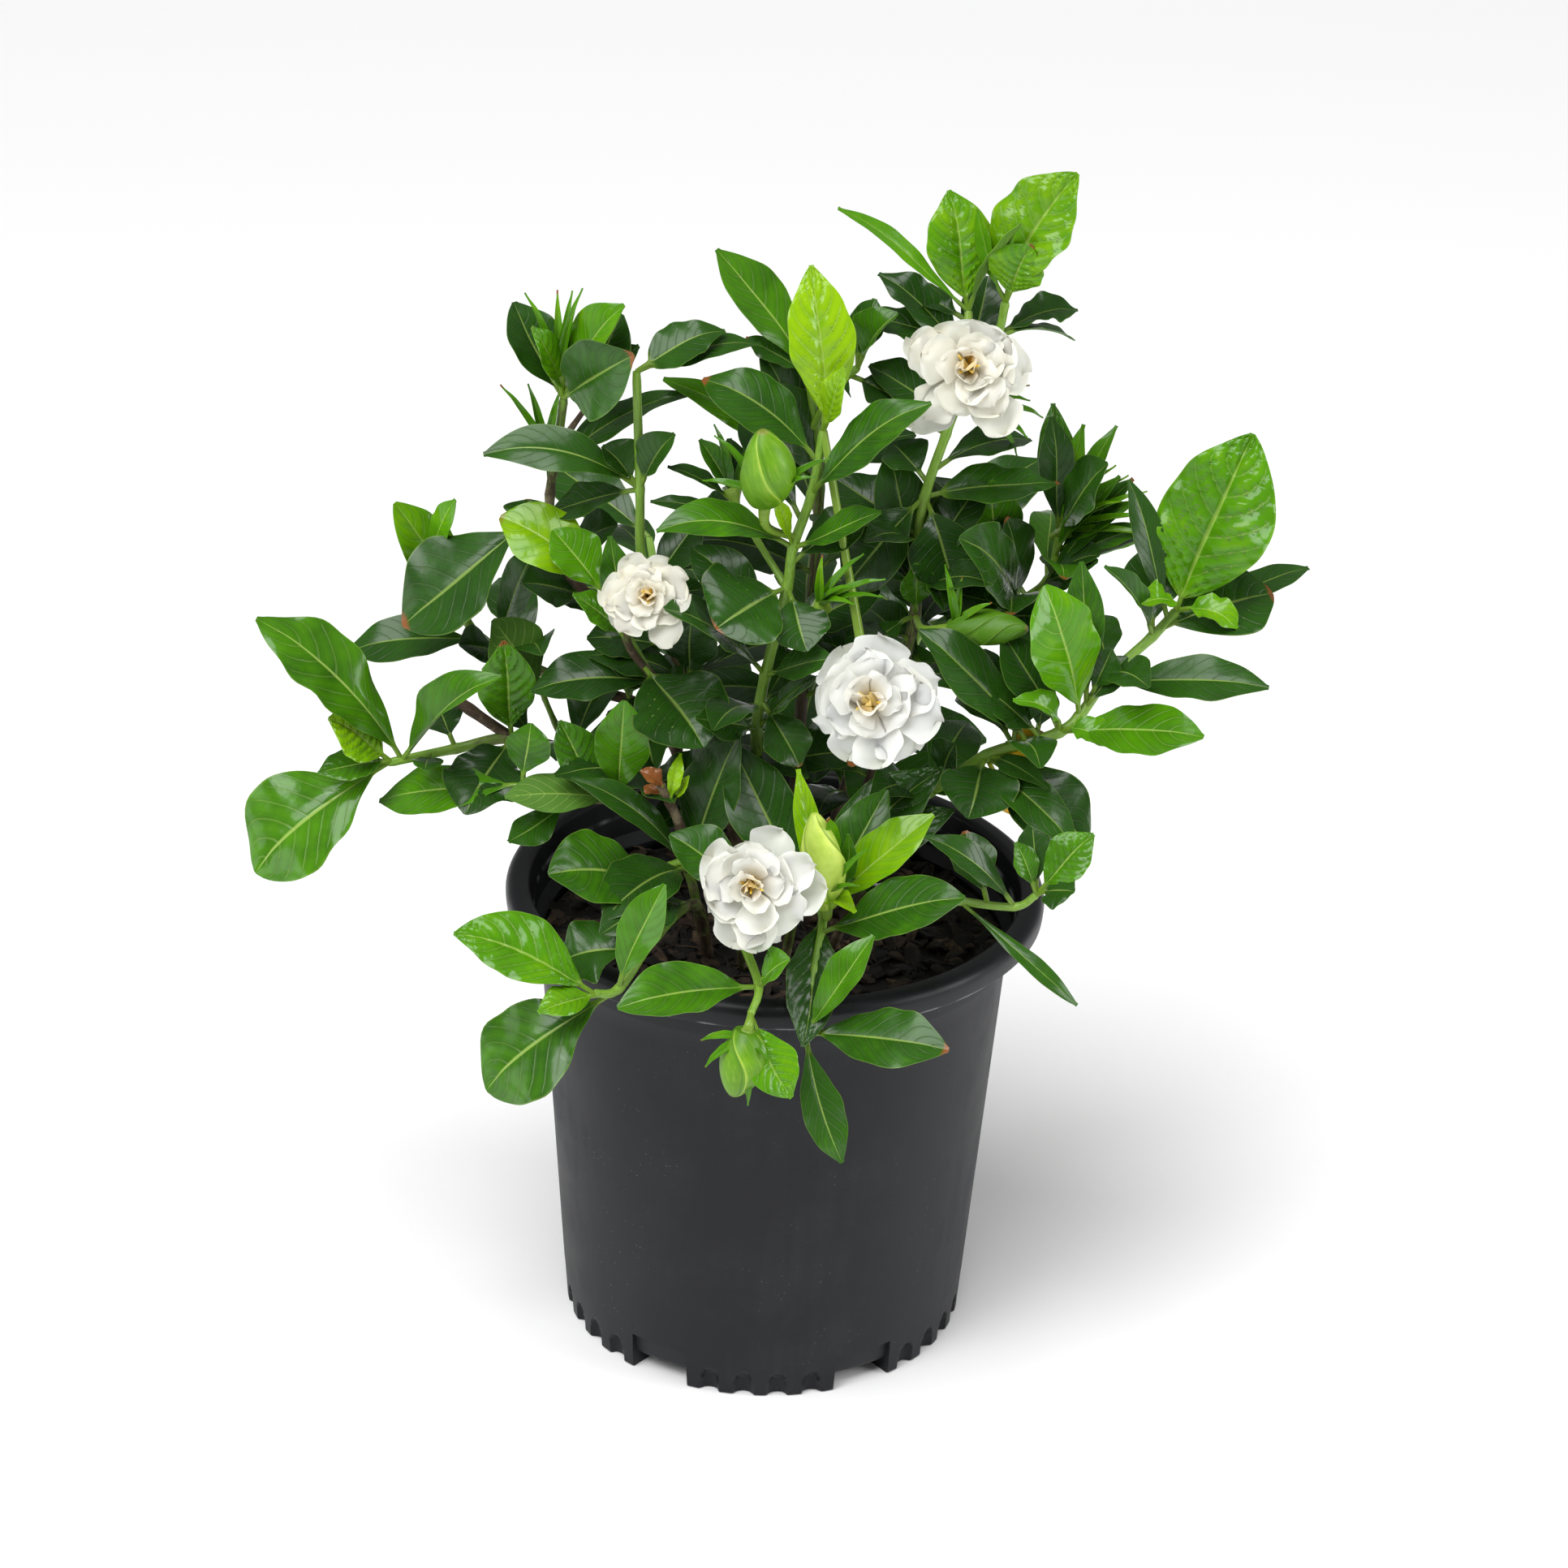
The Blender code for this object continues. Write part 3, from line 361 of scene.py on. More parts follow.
# Leaf pieces by stem, with the CAD leaves that each stands for
LEAF_NODES = {
    "centre": ["leaf_centre_upright", "leaf_centre_right", "leaf_centre_left", "leaf_centre_broad",
               "leaf_centre_low"],
    "tall": ["leaf_tall_upright", "leaf_tall_large", "leaf_tall_arching"],
    "back": ["leaf_back_left"],
    "right": ["leaf_right_large", "leaf_right_tip", "leaf_right_long", "leaf_right_upright",
              "leaf_right_low", "leaf_right_inner", "leaf_right_hanging"],
    "right_back": [],
    "low_right": ["leaf_rim_ribbon"],
    "low_centre": ["leaf_low_centre_broad", "leaf_front_right", "leaf_front_hanging"],
    "front": ["leaf_front_left"],
    "low_left": ["leaf_rim_left", "leaf_low_left_young", "leaf_low_left_large"],
    "wall_left": [],
    "left": ["leaf_left_upper", "leaf_left_lower"],
    "left_back": ["leaf_left_back"],
    "spire_left": ["leaf_spire_broad", "leaf_spire_side"],
    "wand_left": ["leaf_wand_arching"],
    "bloom_left": [],
    "rear_left": ["leaf_rear_left", "leaf_rear_low"],
    "rear_right": ["leaf_rear_right"],
}


# ---------------------------------------------------------------- the pot, in metres

POT_LOW, POT_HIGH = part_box("pot")
RIM_RADIUS = (POT_HIGH[0] - POT_LOW[0]) / 2
POT_HEIGHT = POT_HIGH[2]
FOOT_RADIUS = 0.0915
BODY_RADIUS = 0.1050
COLLAR_RADIUS = 0.1090
COLLAR_BOTTOM = 0.190
LIP_BOTTOM = 0.203
WALL = 0.0022
FEET = 6
FOOT_HEIGHT = 0.018
FOOT_HALF_ANGLE = 21.0
CHANNEL_RADIUS = 0.050
FLUTE_ANGLES = (-14.4, -4.8, 4.8, 14.4)
FLUTE_HALF_ANGLE = 2.7
FLUTE_DEPTH = 0.0032
FLUTE_FOOT = 0.004          # the height at which a flute's arch starts
FLUTE_TOP = 0.0125
FOOT_PITCH = 360 / FEET
FOOT_TOP = FOOT_HEIGHT + 0.001
FOOT_POINTS, CHANNEL_POINTS = 64, 8
CHANNEL_EDGE = 0.35         # degrees between a foot's side and the channel's first point
FLOOR_HEIGHT = 0.0075       # the floor inside
RECESS_HEIGHT = 0.003       # how far the middle of the underside is pushed in
UNEVEN = ((0.0003, 2, 40), (0.0002, 5, 0))  # how far the wall is out of round: depth, bends, turn
MIX_EDGE_HEIGHT = 0.186
MIX_CROWN_HEIGHT = 0.192
MIX_GAP = 0.0016            # between the heap and the wall
LUMP_SCALES = (60, 110, 190, 320)
LUMP_HEIGHT = 0.10          # over the scale
HEAP_RADIUS = 0.1

# Chips and fibres: how far out they lie, how high the heap carries them, and the least and the most of each
# size, which for a chip is half of its length, width or depth
CHIP_REACH, CHIP_RISE = 0.099, 0.0045
CHIP_LENGTHS, CHIP_WIDTHS, CHIP_DEPTHS = (0.003, 0.009), (0.0015, 0.004), (0.0006, 0.0018)
CHIP_LEVELS, CHIP_SIDES = (-1.0, -0.35, 0.35, 1.0), 8
CHIP_BEND = 0.0006
FIBRE_REACH, FIBRE_RISE, FIBRE_ARCH = 0.096, 0.0060, 0.0018
FIBRE_LENGTHS, FIBRE_RADII = (0.010, 0.026), (0.00022, 0.0005)
FIBRE_POINTS, FIBRE_SIDES = 7, 5

# Where each kind of piece starts its random numbers, and how many seeds a bud or a bare calyx takes
LEAF_SEEDS = 1000
BLOOM_SEED, BUD_SEED, BARE_SEED, SEEDS_EACH = 31, 700, 800, 10
CHIP_SEED, FIBRE_SEED, LUMP_SEED = 5, 6, 11


# ---------------------------------------------------------------- shapes from arrays

FULL_TURN = 6.28    # the most that a random angle reaches, in radians
NODE_STEPS = 8      # points between two nodes where a leaf, a stalk or a tube starts
RIBS = 5            # ribs round a calyx or a flower tube
POLE_HEIGHT = 0.04  # the share of a shell's bake map that each pole takes
CELL_MARGIN = 0.03  # the margin round a shell's cell of the bake map


def unit(vectors):
    """Each vector over its own length."""
    return vectors / np.linalg.norm(vectors, axis=-1, keepdims=True)


def smoothstep(low, high, values):
    """0 below low and 1 above high, with 3x^2 - 2x^3 between them."""
    x = np.clip((values - low) / (high - low), 0.0, 1.0)
    return x * x * (3 - 2 * x)


def smooth_line(nodes, steps):
    """Points along a Catmull-Rom curve through the nodes, as one cubic in t for each stretch."""
    nodes = np.asarray(nodes, float)
    ends = np.vstack([2 * nodes[0] - nodes[1], nodes, 2 * nodes[-1] - nodes[-2]])
    a, b, c, d = (ends[i:len(ends) - 3 + i, None] for i in range(4))
    t = np.linspace(0, 1, steps, endpoint=False)[None, :, None]
    square = (2 * a - 5 * b + 4 * c - d) * t**2
    cube = (3 * b - a - 3 * c + d) * t**3
    line = 0.5 * (2 * b + (c - a) * t + square + cube)
    return np.vstack([line.reshape(-1, 3), nodes[-1:]])


def at_node(nodes, place):
    """The point at a fractional node of a shoot's smooth line."""
    line = smooth_line(nodes, NODE_STEPS)
    along = np.arange(len(line)) / NODE_STEPS
    return np.array([np.interp(place, along, line[:, axis]) for axis in range(3)])


def line_frames(line):
    """Two unit vectors across a line at each of its points: the world axis that the line keeps furthest
    from, made square to it, and the one square to both.
    """
    ahead = unit(np.gradient(line, axis=0))
    worst = np.abs(ahead).max(axis=0)
    guide = np.eye(3)[int(worst.argmin())]
    side = unit(guide - (ahead @ guide)[:, None] * ahead)
    return side, np.cross(ahead, side)


def square_to(direction):
    """A turn, as three columns, that carries +Z to a direction and keeps +X level."""
    z = unit(np.asarray(direction, float))
    x = unit(np.cross([0.0, 0.0, 1.0], z)) if abs(z[2]) < 0.99 else np.array([1.0, 0.0, 0.0])
    return np.stack([x, np.cross(z, x), z], axis=1)


def turned(first, second, angle):
    """Two vectors turned together in their own plane."""
    return first * np.cos(angle) - second * np.sin(angle), second * np.cos(angle) + first * np.sin(angle)


def about_z(angle):
    """A turn about +Z for points held as rows."""
    cosine, sine = math.cos(angle), math.sin(angle)
    return np.array([[cosine, sine, 0], [-sine, cosine, 0], [0, 0, 1]])


def tube_grid(line, radii, sides, ribs=0.0):
    """Rings of radius r about a line: point = line + r (cos a side + sin a across), with r swelling by a
    cosine at the ribs.
    """
    side, across = line_frames(line)
    angle = np.linspace(0, 2 * math.pi, sides, endpoint=False)
    swell = 1 + ribs * np.cos(RIBS * angle)
    ring = side[:, None] * np.cos(angle)[None, :, None] + across[:, None] * np.sin(angle)[None, :, None]
    return line[:, None] + ring * (np.asarray(radii)[:, None] * swell)[..., None]


def shell_faces(rows, columns):
    """The faces of a grid of rings and their corners in the bake map: each ring joins the next by quads, and
    triangles run from the first and the last ring to a pole.
    """
    i, j = np.meshgrid(np.arange(rows - 1), np.arange(columns), indexing="ij")
    k = (j + 1) % columns
    quads = np.stack([i * columns + j, i * columns + k, (i + 1) * columns + k, (i + 1) * columns + j], -1)
    u, v = j / columns, POLE_HEIGHT + (1 - 2 * POLE_HEIGHT) * i / (rows - 1)
    du, dv = 1 / columns, (1 - 2 * POLE_HEIGHT) / (rows - 1)
    quad_uv = np.stack([np.stack([u, v], -1), np.stack([u + du, v], -1),
                        np.stack([u + du, v + dv], -1), np.stack([u, v + dv], -1)], -2)
    j = np.arange(columns)
    k = (j + 1) % columns
    near, far = np.full(columns, rows * columns), np.full(columns, rows * columns + 1)
    last = (rows - 1) * columns
    tris = np.concatenate([np.stack([near, k, j], -1), np.stack([far, last + j, last + k], -1)])
    u = j / columns
    low, high = np.full(columns, POLE_HEIGHT), np.full(columns, 1 - POLE_HEIGHT)
    near_uv = np.stack([np.stack([u + du / 2, low * 0], -1), np.stack([u + du, low], -1),
                        np.stack([u, low], -1)], -2)
    far_uv = np.stack([np.stack([u + du / 2, high * 0 + 1], -1), np.stack([u, high], -1),
                       np.stack([u + du, high], -1)], -2)
    return {"quads": quads.reshape(-1, 4), "tris": tris, "quad_uv": quad_uv.reshape(-1, 4, 2),
            "tri_uv": np.concatenate([near_uv, far_uv])}


def closed_shell(grid, values):
    """A grid of rings as one closed body, with a pole in the middle of its first ring and of its last.

    values maps an attribute's name to an array over the grid; a pole takes the mean of its ring.
    """
    rows, columns = grid.shape[:2]

    def with_poles(array):
        flat = array.reshape(rows * columns, -1)
        return np.vstack([flat, array[0].mean(0).reshape(1, -1), array[-1].mean(0).reshape(1, -1)])

    values = {name: with_poles(array) for name, array in values.items()}
    return {"points": with_poles(grid), "values": values, **shell_faces(rows, columns)}


def atlas(shells):
    """Gives each shell its own cell of a square grid of cells, with a narrow margin round it."""
    across = math.ceil(math.sqrt(len(shells)))
    down = math.ceil(len(shells) / across)
    for number, shell in enumerate(shells):
        corner = np.array([number % across, number // across]) + CELL_MARGIN
        for name in ("quad_uv", "tri_uv"):
            shell[name] = (corner + shell[name] * (1 - 2 * CELL_MARGIN)) / (across, down)


def marked_shell(grid, blade, kind):
    """A closed shell with two marks of three values each; a value is a number or an array over the grid."""
    flat = np.ones(grid.shape[:2])
    return closed_shell(grid, {name: np.stack([flat * value for value in values], -1)
                               for name, values in (("Blade", blade), ("Kind", kind))})


def two_faced(top, under, along, across):
    """A thin blade as rings that run over its top and back along its underside, and its marks: the place
    along it, the place across it, and 0 on the top or 1 underneath.
    """
    ones = np.ones_like(along * across)
    marks = [np.concatenate([face * ones, (back * ones)[:, ::-1]], axis=1)
             for face, back in ((along, along), (across, across), (0, 1))]
    return np.concatenate([top, under[:, ::-1]], axis=1), marks


def add_object(name, data, matrix=None):
    """Puts a new object into the scene, at the origin unless a matrix says where."""
    thing = bpy.data.objects.new(name, data)
    if matrix is not None:
        thing.matrix_world = matrix
    bpy.context.scene.collection.objects.link(thing)
    return thing


def build_piece(name, shells, finish, nodes=(), crease=50.0):
    """Joins closed shells into one mesh object, writes its bake map and marks, and hands it to the frame."""
    atlas(shells)
    starts = np.cumsum([0] + [len(shell["points"]) for shell in shells])
    points = np.concatenate([shell["points"] for shell in shells])
    quads = np.concatenate([shell["quads"] + start for shell, start in zip(shells, starts)])
    tris = np.concatenate([shell["tris"] + start for shell, start in zip(shells, starts)])
    corners = np.concatenate([quads.ravel(), tris.ravel()]).astype(np.int32)
    sizes = np.concatenate([np.full(len(quads), 4), np.full(len(tris), 3)])
    uv = np.concatenate([shell["quad_uv"].reshape(-1, 2) for shell in shells]
                        + [shell["tri_uv"].reshape(-1, 2) for shell in shells])
    mesh = bpy.data.meshes.new(name)
    mesh.vertices.add(len(points))
    mesh.vertices.foreach_set("co", points.astype(np.float32).ravel())
    mesh.loops.add(len(corners))
    mesh.loops.foreach_set("vertex_index", corners)
    mesh.polygons.add(len(sizes))
    mesh.polygons.foreach_set("loop_start", (np.cumsum(sizes) - sizes).astype(np.int32))
    mesh.polygons.foreach_set("loop_total", sizes.astype(np.int32))
    mesh.update(calc_edges=True)
    mesh.uv_layers.new(name="OFBake").data.foreach_set("uv", uv.astype(np.float32).ravel())
    for value in shells[0]["values"]:
        rows = np.concatenate([shell["values"][value] for shell in shells]).astype(np.float32)
        attribute = mesh.attributes.new(value, "FLOAT_VECTOR", "POINT")
        attribute.data.foreach_set("vector", rows.ravel())
    mesh.shade_smooth()
    mesh.set_sharp_from_angle(angle=math.radians(crease))
    mesh.materials.append(finish)
    thing = add_object(name, mesh)
    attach(thing, "root")
    if nodes:
        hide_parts(*nodes)


# ---------------------------------------------------------------- leaves

SKY = np.array([0.0, -0.5, 0.87])  # the way that an unturned blade faces
FULL_ACROSS = (0, 0.05, 0.14, 0.28, 0.45, 0.62, 0.79, 0.93, 1.0)
PLAIN_ACROSS = (0, 0.12, 0.4, 0.7, 0.93, 1.0)
QUILTED_ROWS, LEAF_ROWS, FILLING_ROWS = 66, 35, 21
QUILTED_FROM = 0.6            # quilting, in millimetres, past which a blade gets the closer rows
SIDE_VEINS = 8.0
VEIN_SLANT, VEIN_CURVE = 0.27, 1.3
STALK, LOBE_STALK = 0.006, 0.002
MOST_STALK = 0.3              # the most that a stalk takes of a leaf's length
STALK_RADIUS = 0.0011
STALK_SHARE = 0.09            # a narrow leaf's stalk radius, as a share of the blade's width
STALK_JOIN = 0.08             # the share of a blade over which the stalk flattens into it
USUAL_WIDTH = 0.03            # quilting and ribs are given for a blade of this width
TIP_TAPER, BASE_TAPER = 0.20, 0.24
SWAY, TWIST, LOPSIDED, NICKS = 0.012, 9, 0.09, 0.028
RIB_DEPTH, RIB_BACK = 0.0005, 0.0006
RIB_WIDTH, RIB_GROWTH = 0.0008, 0.0003
LONG_RIPPLES, SHORT_RIPPLES = (1.2, 2.4), (3.5, 5.0)  # how many waves run along a margin
SHORT_RIPPLE_SHARE = 0.4
# Filling pairs stray from their plan by these: degrees of azimuth, rise and roll, then length and tone
PAIR_TURN, PAIR_RISE, PAIR_ROLL = 12, 8, 15
PAIR_LENGTHS, PAIR_TONES = (0.85, 1.1), (-0.04, 0.08)
LOBE_WIDTH = 4.8              # in millimetres
STALK_PAST_BARK = 4.0         # millimetres of stalk outside the bark


def leaf_middle(base, tip, roll, bow, arch, curl, t, random):
    """A leaf's centre line over t, from 0 at its base to 1 at its tip, and the ways out and up from it.

    It is the straight line from base to tip, lifted by arch * 4t(1 - t) towards the face and pushed by
    bow * 4t(1 - t) to the side. It sways by one sine wave each way, and its tip curls back.
    """
    span = tip - base
    length = np.linalg.norm(span)
    ahead = span / length
    face = unit(SKY - (SKY @ ahead) * ahead)
    side = np.cross(ahead, face)
    face, side = turned(face, side, math.radians(roll))
    arc = 4 * t * (1 - t)
    sway = random.uniform(-SWAY, SWAY, 2)
    centre = (base + ahead * length * t
              + face * length * (arch * arc + sway[0] * np.sin(2 * math.pi * t)
                                 - curl * smoothstep(0.8, 1.0, t) * 0.5)
              + side * length * (bow * arc + sway[1] * np.sin(2 * math.pi * t)))
    forward = unit(np.gradient(centre, t[:, 0], axis=0))
    out = unit(side - (forward @ side)[:, None] * forward)
    up = np.cross(out, forward)
    twist = np.radians(random.uniform(-TWIST, TWIST)) * (t - 0.3)
    return centre, *turned(out, up, twist)


def half_width(b, s, width, skew, pointed, random):
    """Half of a blade's width over its own share b: sin(pi b^k)^f, drawn in towards both ends, a little
    lopsided and with shallow nicks.
    """
    outline = np.sin(math.pi * np.clip(b, 1e-4, 1 - 1e-4) ** skew) ** pointed
    outline = outline * (1 - TIP_TAPER * smoothstep(0.72, 1.0, b))
    outline = outline * (1 - BASE_TAPER * smoothstep(0.46, 0.0, b))
    lean = 1 + random.uniform(-LOPSIDED, LOPSIDED) * np.sign(s)
    bends = random.uniform(2, 4) * b + random.uniform() + 0.3 * np.sign(s)
    return width / 2 * outline * lean * (1 + NICKS * np.sin(2 * math.pi * bends))


def margin_waves(b, s, height, random):
    """Waves that lift each margin by two sines along it, fading inwards with |s|^2.2 and at both ends."""
    waves = 0
    for sign in (-1, 1):
        long = np.sin(2 * math.pi * (random.uniform(*LONG_RIPPLES) * b + random.uniform()))
        short = np.sin(2 * math.pi * (random.uniform(*SHORT_RIPPLES) * b + random.uniform()))
        lift = height * np.abs(s) ** 2.2 * (long + SHORT_RIPPLE_SHARE * short)
        waves = waves + np.where(np.sign(s) == sign, lift, 0)
    return waves * np.sin(math.pi * b) ** 0.6


def leaf_shell(base, tip, width, roll, bow, tone, form, seed, full=True, petiole=STALK):
    """One leaf as a closed shell over (t, s): t along it from 0 to 1, s across it from -1 to 1.

    The stalk takes the first share of t, drawn in to a round section, and b runs from 0 to 1 over the blade.
    Across it the blade folds upwards, cups with s^2 and bulges with |sin(pi v)|^1.25 between its veins,
    where v counts veins and slants with |s|^1.3. The midrib sinks by a bell curve across it.
    """
    looks = bpy.context.scene.gardenia_leaves
    arch, fold, cup, wave, quilt, skew, pointed, curl = LEAF_FORMS[form]
    random = np.random.default_rng(seed)
    half = np.array(FULL_ACROSS if full else PLAIN_ACROSS)
    s = np.concatenate([-half[:0:-1], half])[None, :]
    rows = (QUILTED_ROWS if quilt > QUILTED_FROM else LEAF_ROWS) if full else FILLING_ROWS
    u = np.linspace(0, 1, rows)
    t = (u - 0.05 * np.sin(2 * math.pi * u))[:, None]
    stalk = min(MOST_STALK, petiole / np.linalg.norm(tip - base))
    b = np.clip((t - stalk) / (1 - stalk), 0, 1)
    centre, out, up = leaf_middle(base, tip, roll, bow, arch, curl, t, random)

    round_share = 1 - smoothstep(0.0, STALK_JOIN, b)
    stalk_radius = min(STALK_RADIUS, width * STALK_SHARE)
    reach = np.maximum(half_width(b, s, width, skew, pointed, random), stalk_radius)
    fold_angle = np.radians(fold) * (1 - round_share) * (1 - 0.3 * b)
    x = s * reach * np.cos(fold_angle)
    z = np.abs(s) * reach * np.sin(fold_angle) + cup * reach * s**2
    z = z + margin_waves(b, s, wave * width / 2, random)
    phase = SIDE_VEINS * (b - VEIN_SLANT * np.abs(s) ** VEIN_CURVE)
    bulge = np.abs(np.sin(math.pi * phase)) ** 1.25 * np.sqrt(np.abs(1 - s**2))
    bulge = bulge * np.minimum(1, np.abs(s) * 5)
    size_share = width / USUAL_WIDTH
    z = z + quilt * looks.quilting * MM * size_share * bulge * np.sin(math.pi * b) ** 0.5
    rib = np.exp(-((x / (RIB_WIDTH + RIB_GROWTH * size_share)) ** 2)) * (1 - b) ** 0.5 * (1 - round_share)
    z = z - RIB_DEPTH * size_share * rib
    blade_thick = looks.thickness * (1 - 0.4 * s**6)
    thick = round_share * 2 * stalk_radius * np.sqrt(1 - 0.96 * s**2) + (1 - round_share) * blade_thick
    middle = centre[:, None] + out[:, None] * x[..., None]
    top = middle + up[:, None] * (z + thick / 2)[..., None]
    under = middle + up[:, None] * (z - thick / 2 - RIB_BACK * size_share * rib)[..., None]
    grid, marks = two_faced(top, under, b, s)
    return marked_shell(grid, marks, (tone, random.uniform(), round_share))


def shoot_leaves(shoot, seed):
    """The planned leaves of one shoot, then its filling pairs, whose two leaves stand opposite."""
    start, end, *_, nodes = SHOOTS[shoot]
    shells = []
    for place, tip, width, tone, form, *bent in LEAVES.get(shoot, ()):
        seed += 1
        roll, bow = (*bent, 0, 0)[:2]
        base = at_node(nodes, place)
        share = place / (len(nodes) - 1)
        reach = (start + (end - start) * share + STALK_PAST_BARK) * MM
        shells.append(leaf_shell(base * MM, np.array(tip) * MM, width * MM, roll, bow, tone, form, seed,
                                 petiole=reach))
    random = np.random.default_rng(seed)
    for place, azimuth, rise, length, width, tone in PAIRS.get(shoot, ()):
        base = at_node(nodes, place)
        for turn in (0, 180):
            seed += 1
            a = math.radians(azimuth + turn + random.uniform(-PAIR_TURN, PAIR_TURN))
            e = math.radians(rise + random.uniform(-PAIR_RISE, PAIR_RISE))
            way = np.array([math.cos(a) * math.cos(e), math.sin(a) * math.cos(e), math.sin(e)])
            tip = base + way * length * random.uniform(*PAIR_LENGTHS)
            roll = random.uniform(-PAIR_ROLL, PAIR_ROLL)
            shade = tone + random.uniform(*PAIR_TONES)
            shells.append(leaf_shell(base * MM, tip * MM, width * MM, roll, 0.0, shade, "arched", seed,
                                     full=False))
    return shells


# ---------------------------------------------------------------- stems

STEM_STEPS, STEM_SIDES = 12, 14
NODE_LENGTH = 0.0022
STEM_SLIMMING = 0.86  # bark is this much slimmer than the radius that the plan keeps for it
STEM_END = 0.75


def stem_shell(shoot):
    """A tapering tube on the shoot's smooth line, swollen at each node by a bell curve."""
    start, end, woody_start, woody_end, _, nodes = SHOOTS[shoot]
    line = smooth_line(nodes, STEM_STEPS) * MM
    share = np.linspace(0, 1, len(line))[:, None]
    spot = (np.arange(len(line)) / STEM_STEPS)[:, None]
    near = np.abs(spot - np.round(spot)) * np.linalg.norm(line[-1] - line[0]) / len(nodes)
    swell = bpy.context.scene.gardenia_stems.swelling * np.exp(-((near / NODE_LENGTH) ** 2))
    radii = (start + (end - start) * share) * STEM_SLIMMING * MM * (1 + swell)
    radii[-1] *= STEM_END
    grid = tube_grid(line, radii[:, 0], STEM_SIDES)
    angle = np.linspace(0, 2 * math.pi, STEM_SIDES, endpoint=False)[None, :]
    wood = woody_start + (woody_end - woody_start) * share
    return marked_shell(grid, (spot, np.cos(angle), np.sin(angle)), (wood, 0, 0))


# ---------------------------------------------------------------- blooms and buds

PETAL_ROWS, PETAL_COLUMNS = 18, 17
PETAL_WIDEST = 0.60   # the share of a petal's length at which it is widest
THROAT_SINK = 0.28    # how far the petals' feet lie behind the bloom's centre, in radii
THROAT_REACH = 0.30   # how far out the throat's colour reaches, in radii
# The least and most of each share of a whorl that a petal takes, and the tilt either way in radians
PETAL_REACHES, PETAL_WIDTHS = (0.80, 1.06), (0.84, 1.12)
PETAL_HEIGHTS, PETAL_REFLEXES = (0.7, 1.3), (-0.4, 2.4)
PETAL_TILT = 0.30
PETAL_POINTS = (0.0, 0.07)
PETAL_STRAY = 0.36    # radians that a petal strays from its place in the whorl
GOLDEN_TURN = 2.4
STAMENS = 5
STAMEN_RADIUS, STAMEN_ROWS, STAMEN_SIDES = 0.0007, 7, 8
# Of a stamen's foot and tip: how far from the middle and how high, in radii
STAMEN_FOOT, STAMEN_SPLAYS, STAMEN_TIPS = (0.03, 0.10), (0.10, 0.22), (0.36, 0.46)
STAMEN_STRAY = 0.3
BUD_ROWS, BUD_SIDES = 38, 60
BUD_FOLD = 0.12       # how far a fold stands over the next, in radii
BUD_LEAN = 0.05       # of its length
BUD_PHASE = 3         # radians by which the next bud's folds waver later

# Calyces and tubes, in millimetres. CALYX_WIDTH, CALYX_GROWTH, FLOWER_TUBE_END, FLOWER_BACK and FLOWER_BEND
# are shares of the bloom's or bud's width, FLOWER_BEND_AT and BUD_TUBE_BEND of the way along the tube, and
# ribs of the radius.
CALYX_RADIUS, CALYX_WIDTH, CALYX_ROWS, CALYX_SIDES, CALYX_RIBS = 1.6, 0.34, 12, 20, 0.08
CALYX_BELOW, CALYX_LENGTH, CALYX_GROWTH = 4, 8, 0.12
LOBE_FOOT = 2
FLOWER_TUBE_RADIUS, FLOWER_TUBE_END, FLOWER_TUBE_SIDES, FLOWER_TUBE_RIBS = 1.7, 0.13, 18, 0.04
FLOWER_BACK, FLOWER_BEND, FLOWER_BEND_AT = 0.14, 0.25, 0.9
BUD_TUBE_RADIUS, BUD_TUBE_GROWTH, BUD_TUBE_SIDES, BUD_TUBE_RIBS = 1.5, 1.6, 16, 0.05
BUD_TUBE_BEND, BUD_TUBE_INSIDE = 0.45, 2
GREEN_TONE = 0.6
BARE_WIDTH = 12        # millimetres across the cup of a spent bloom


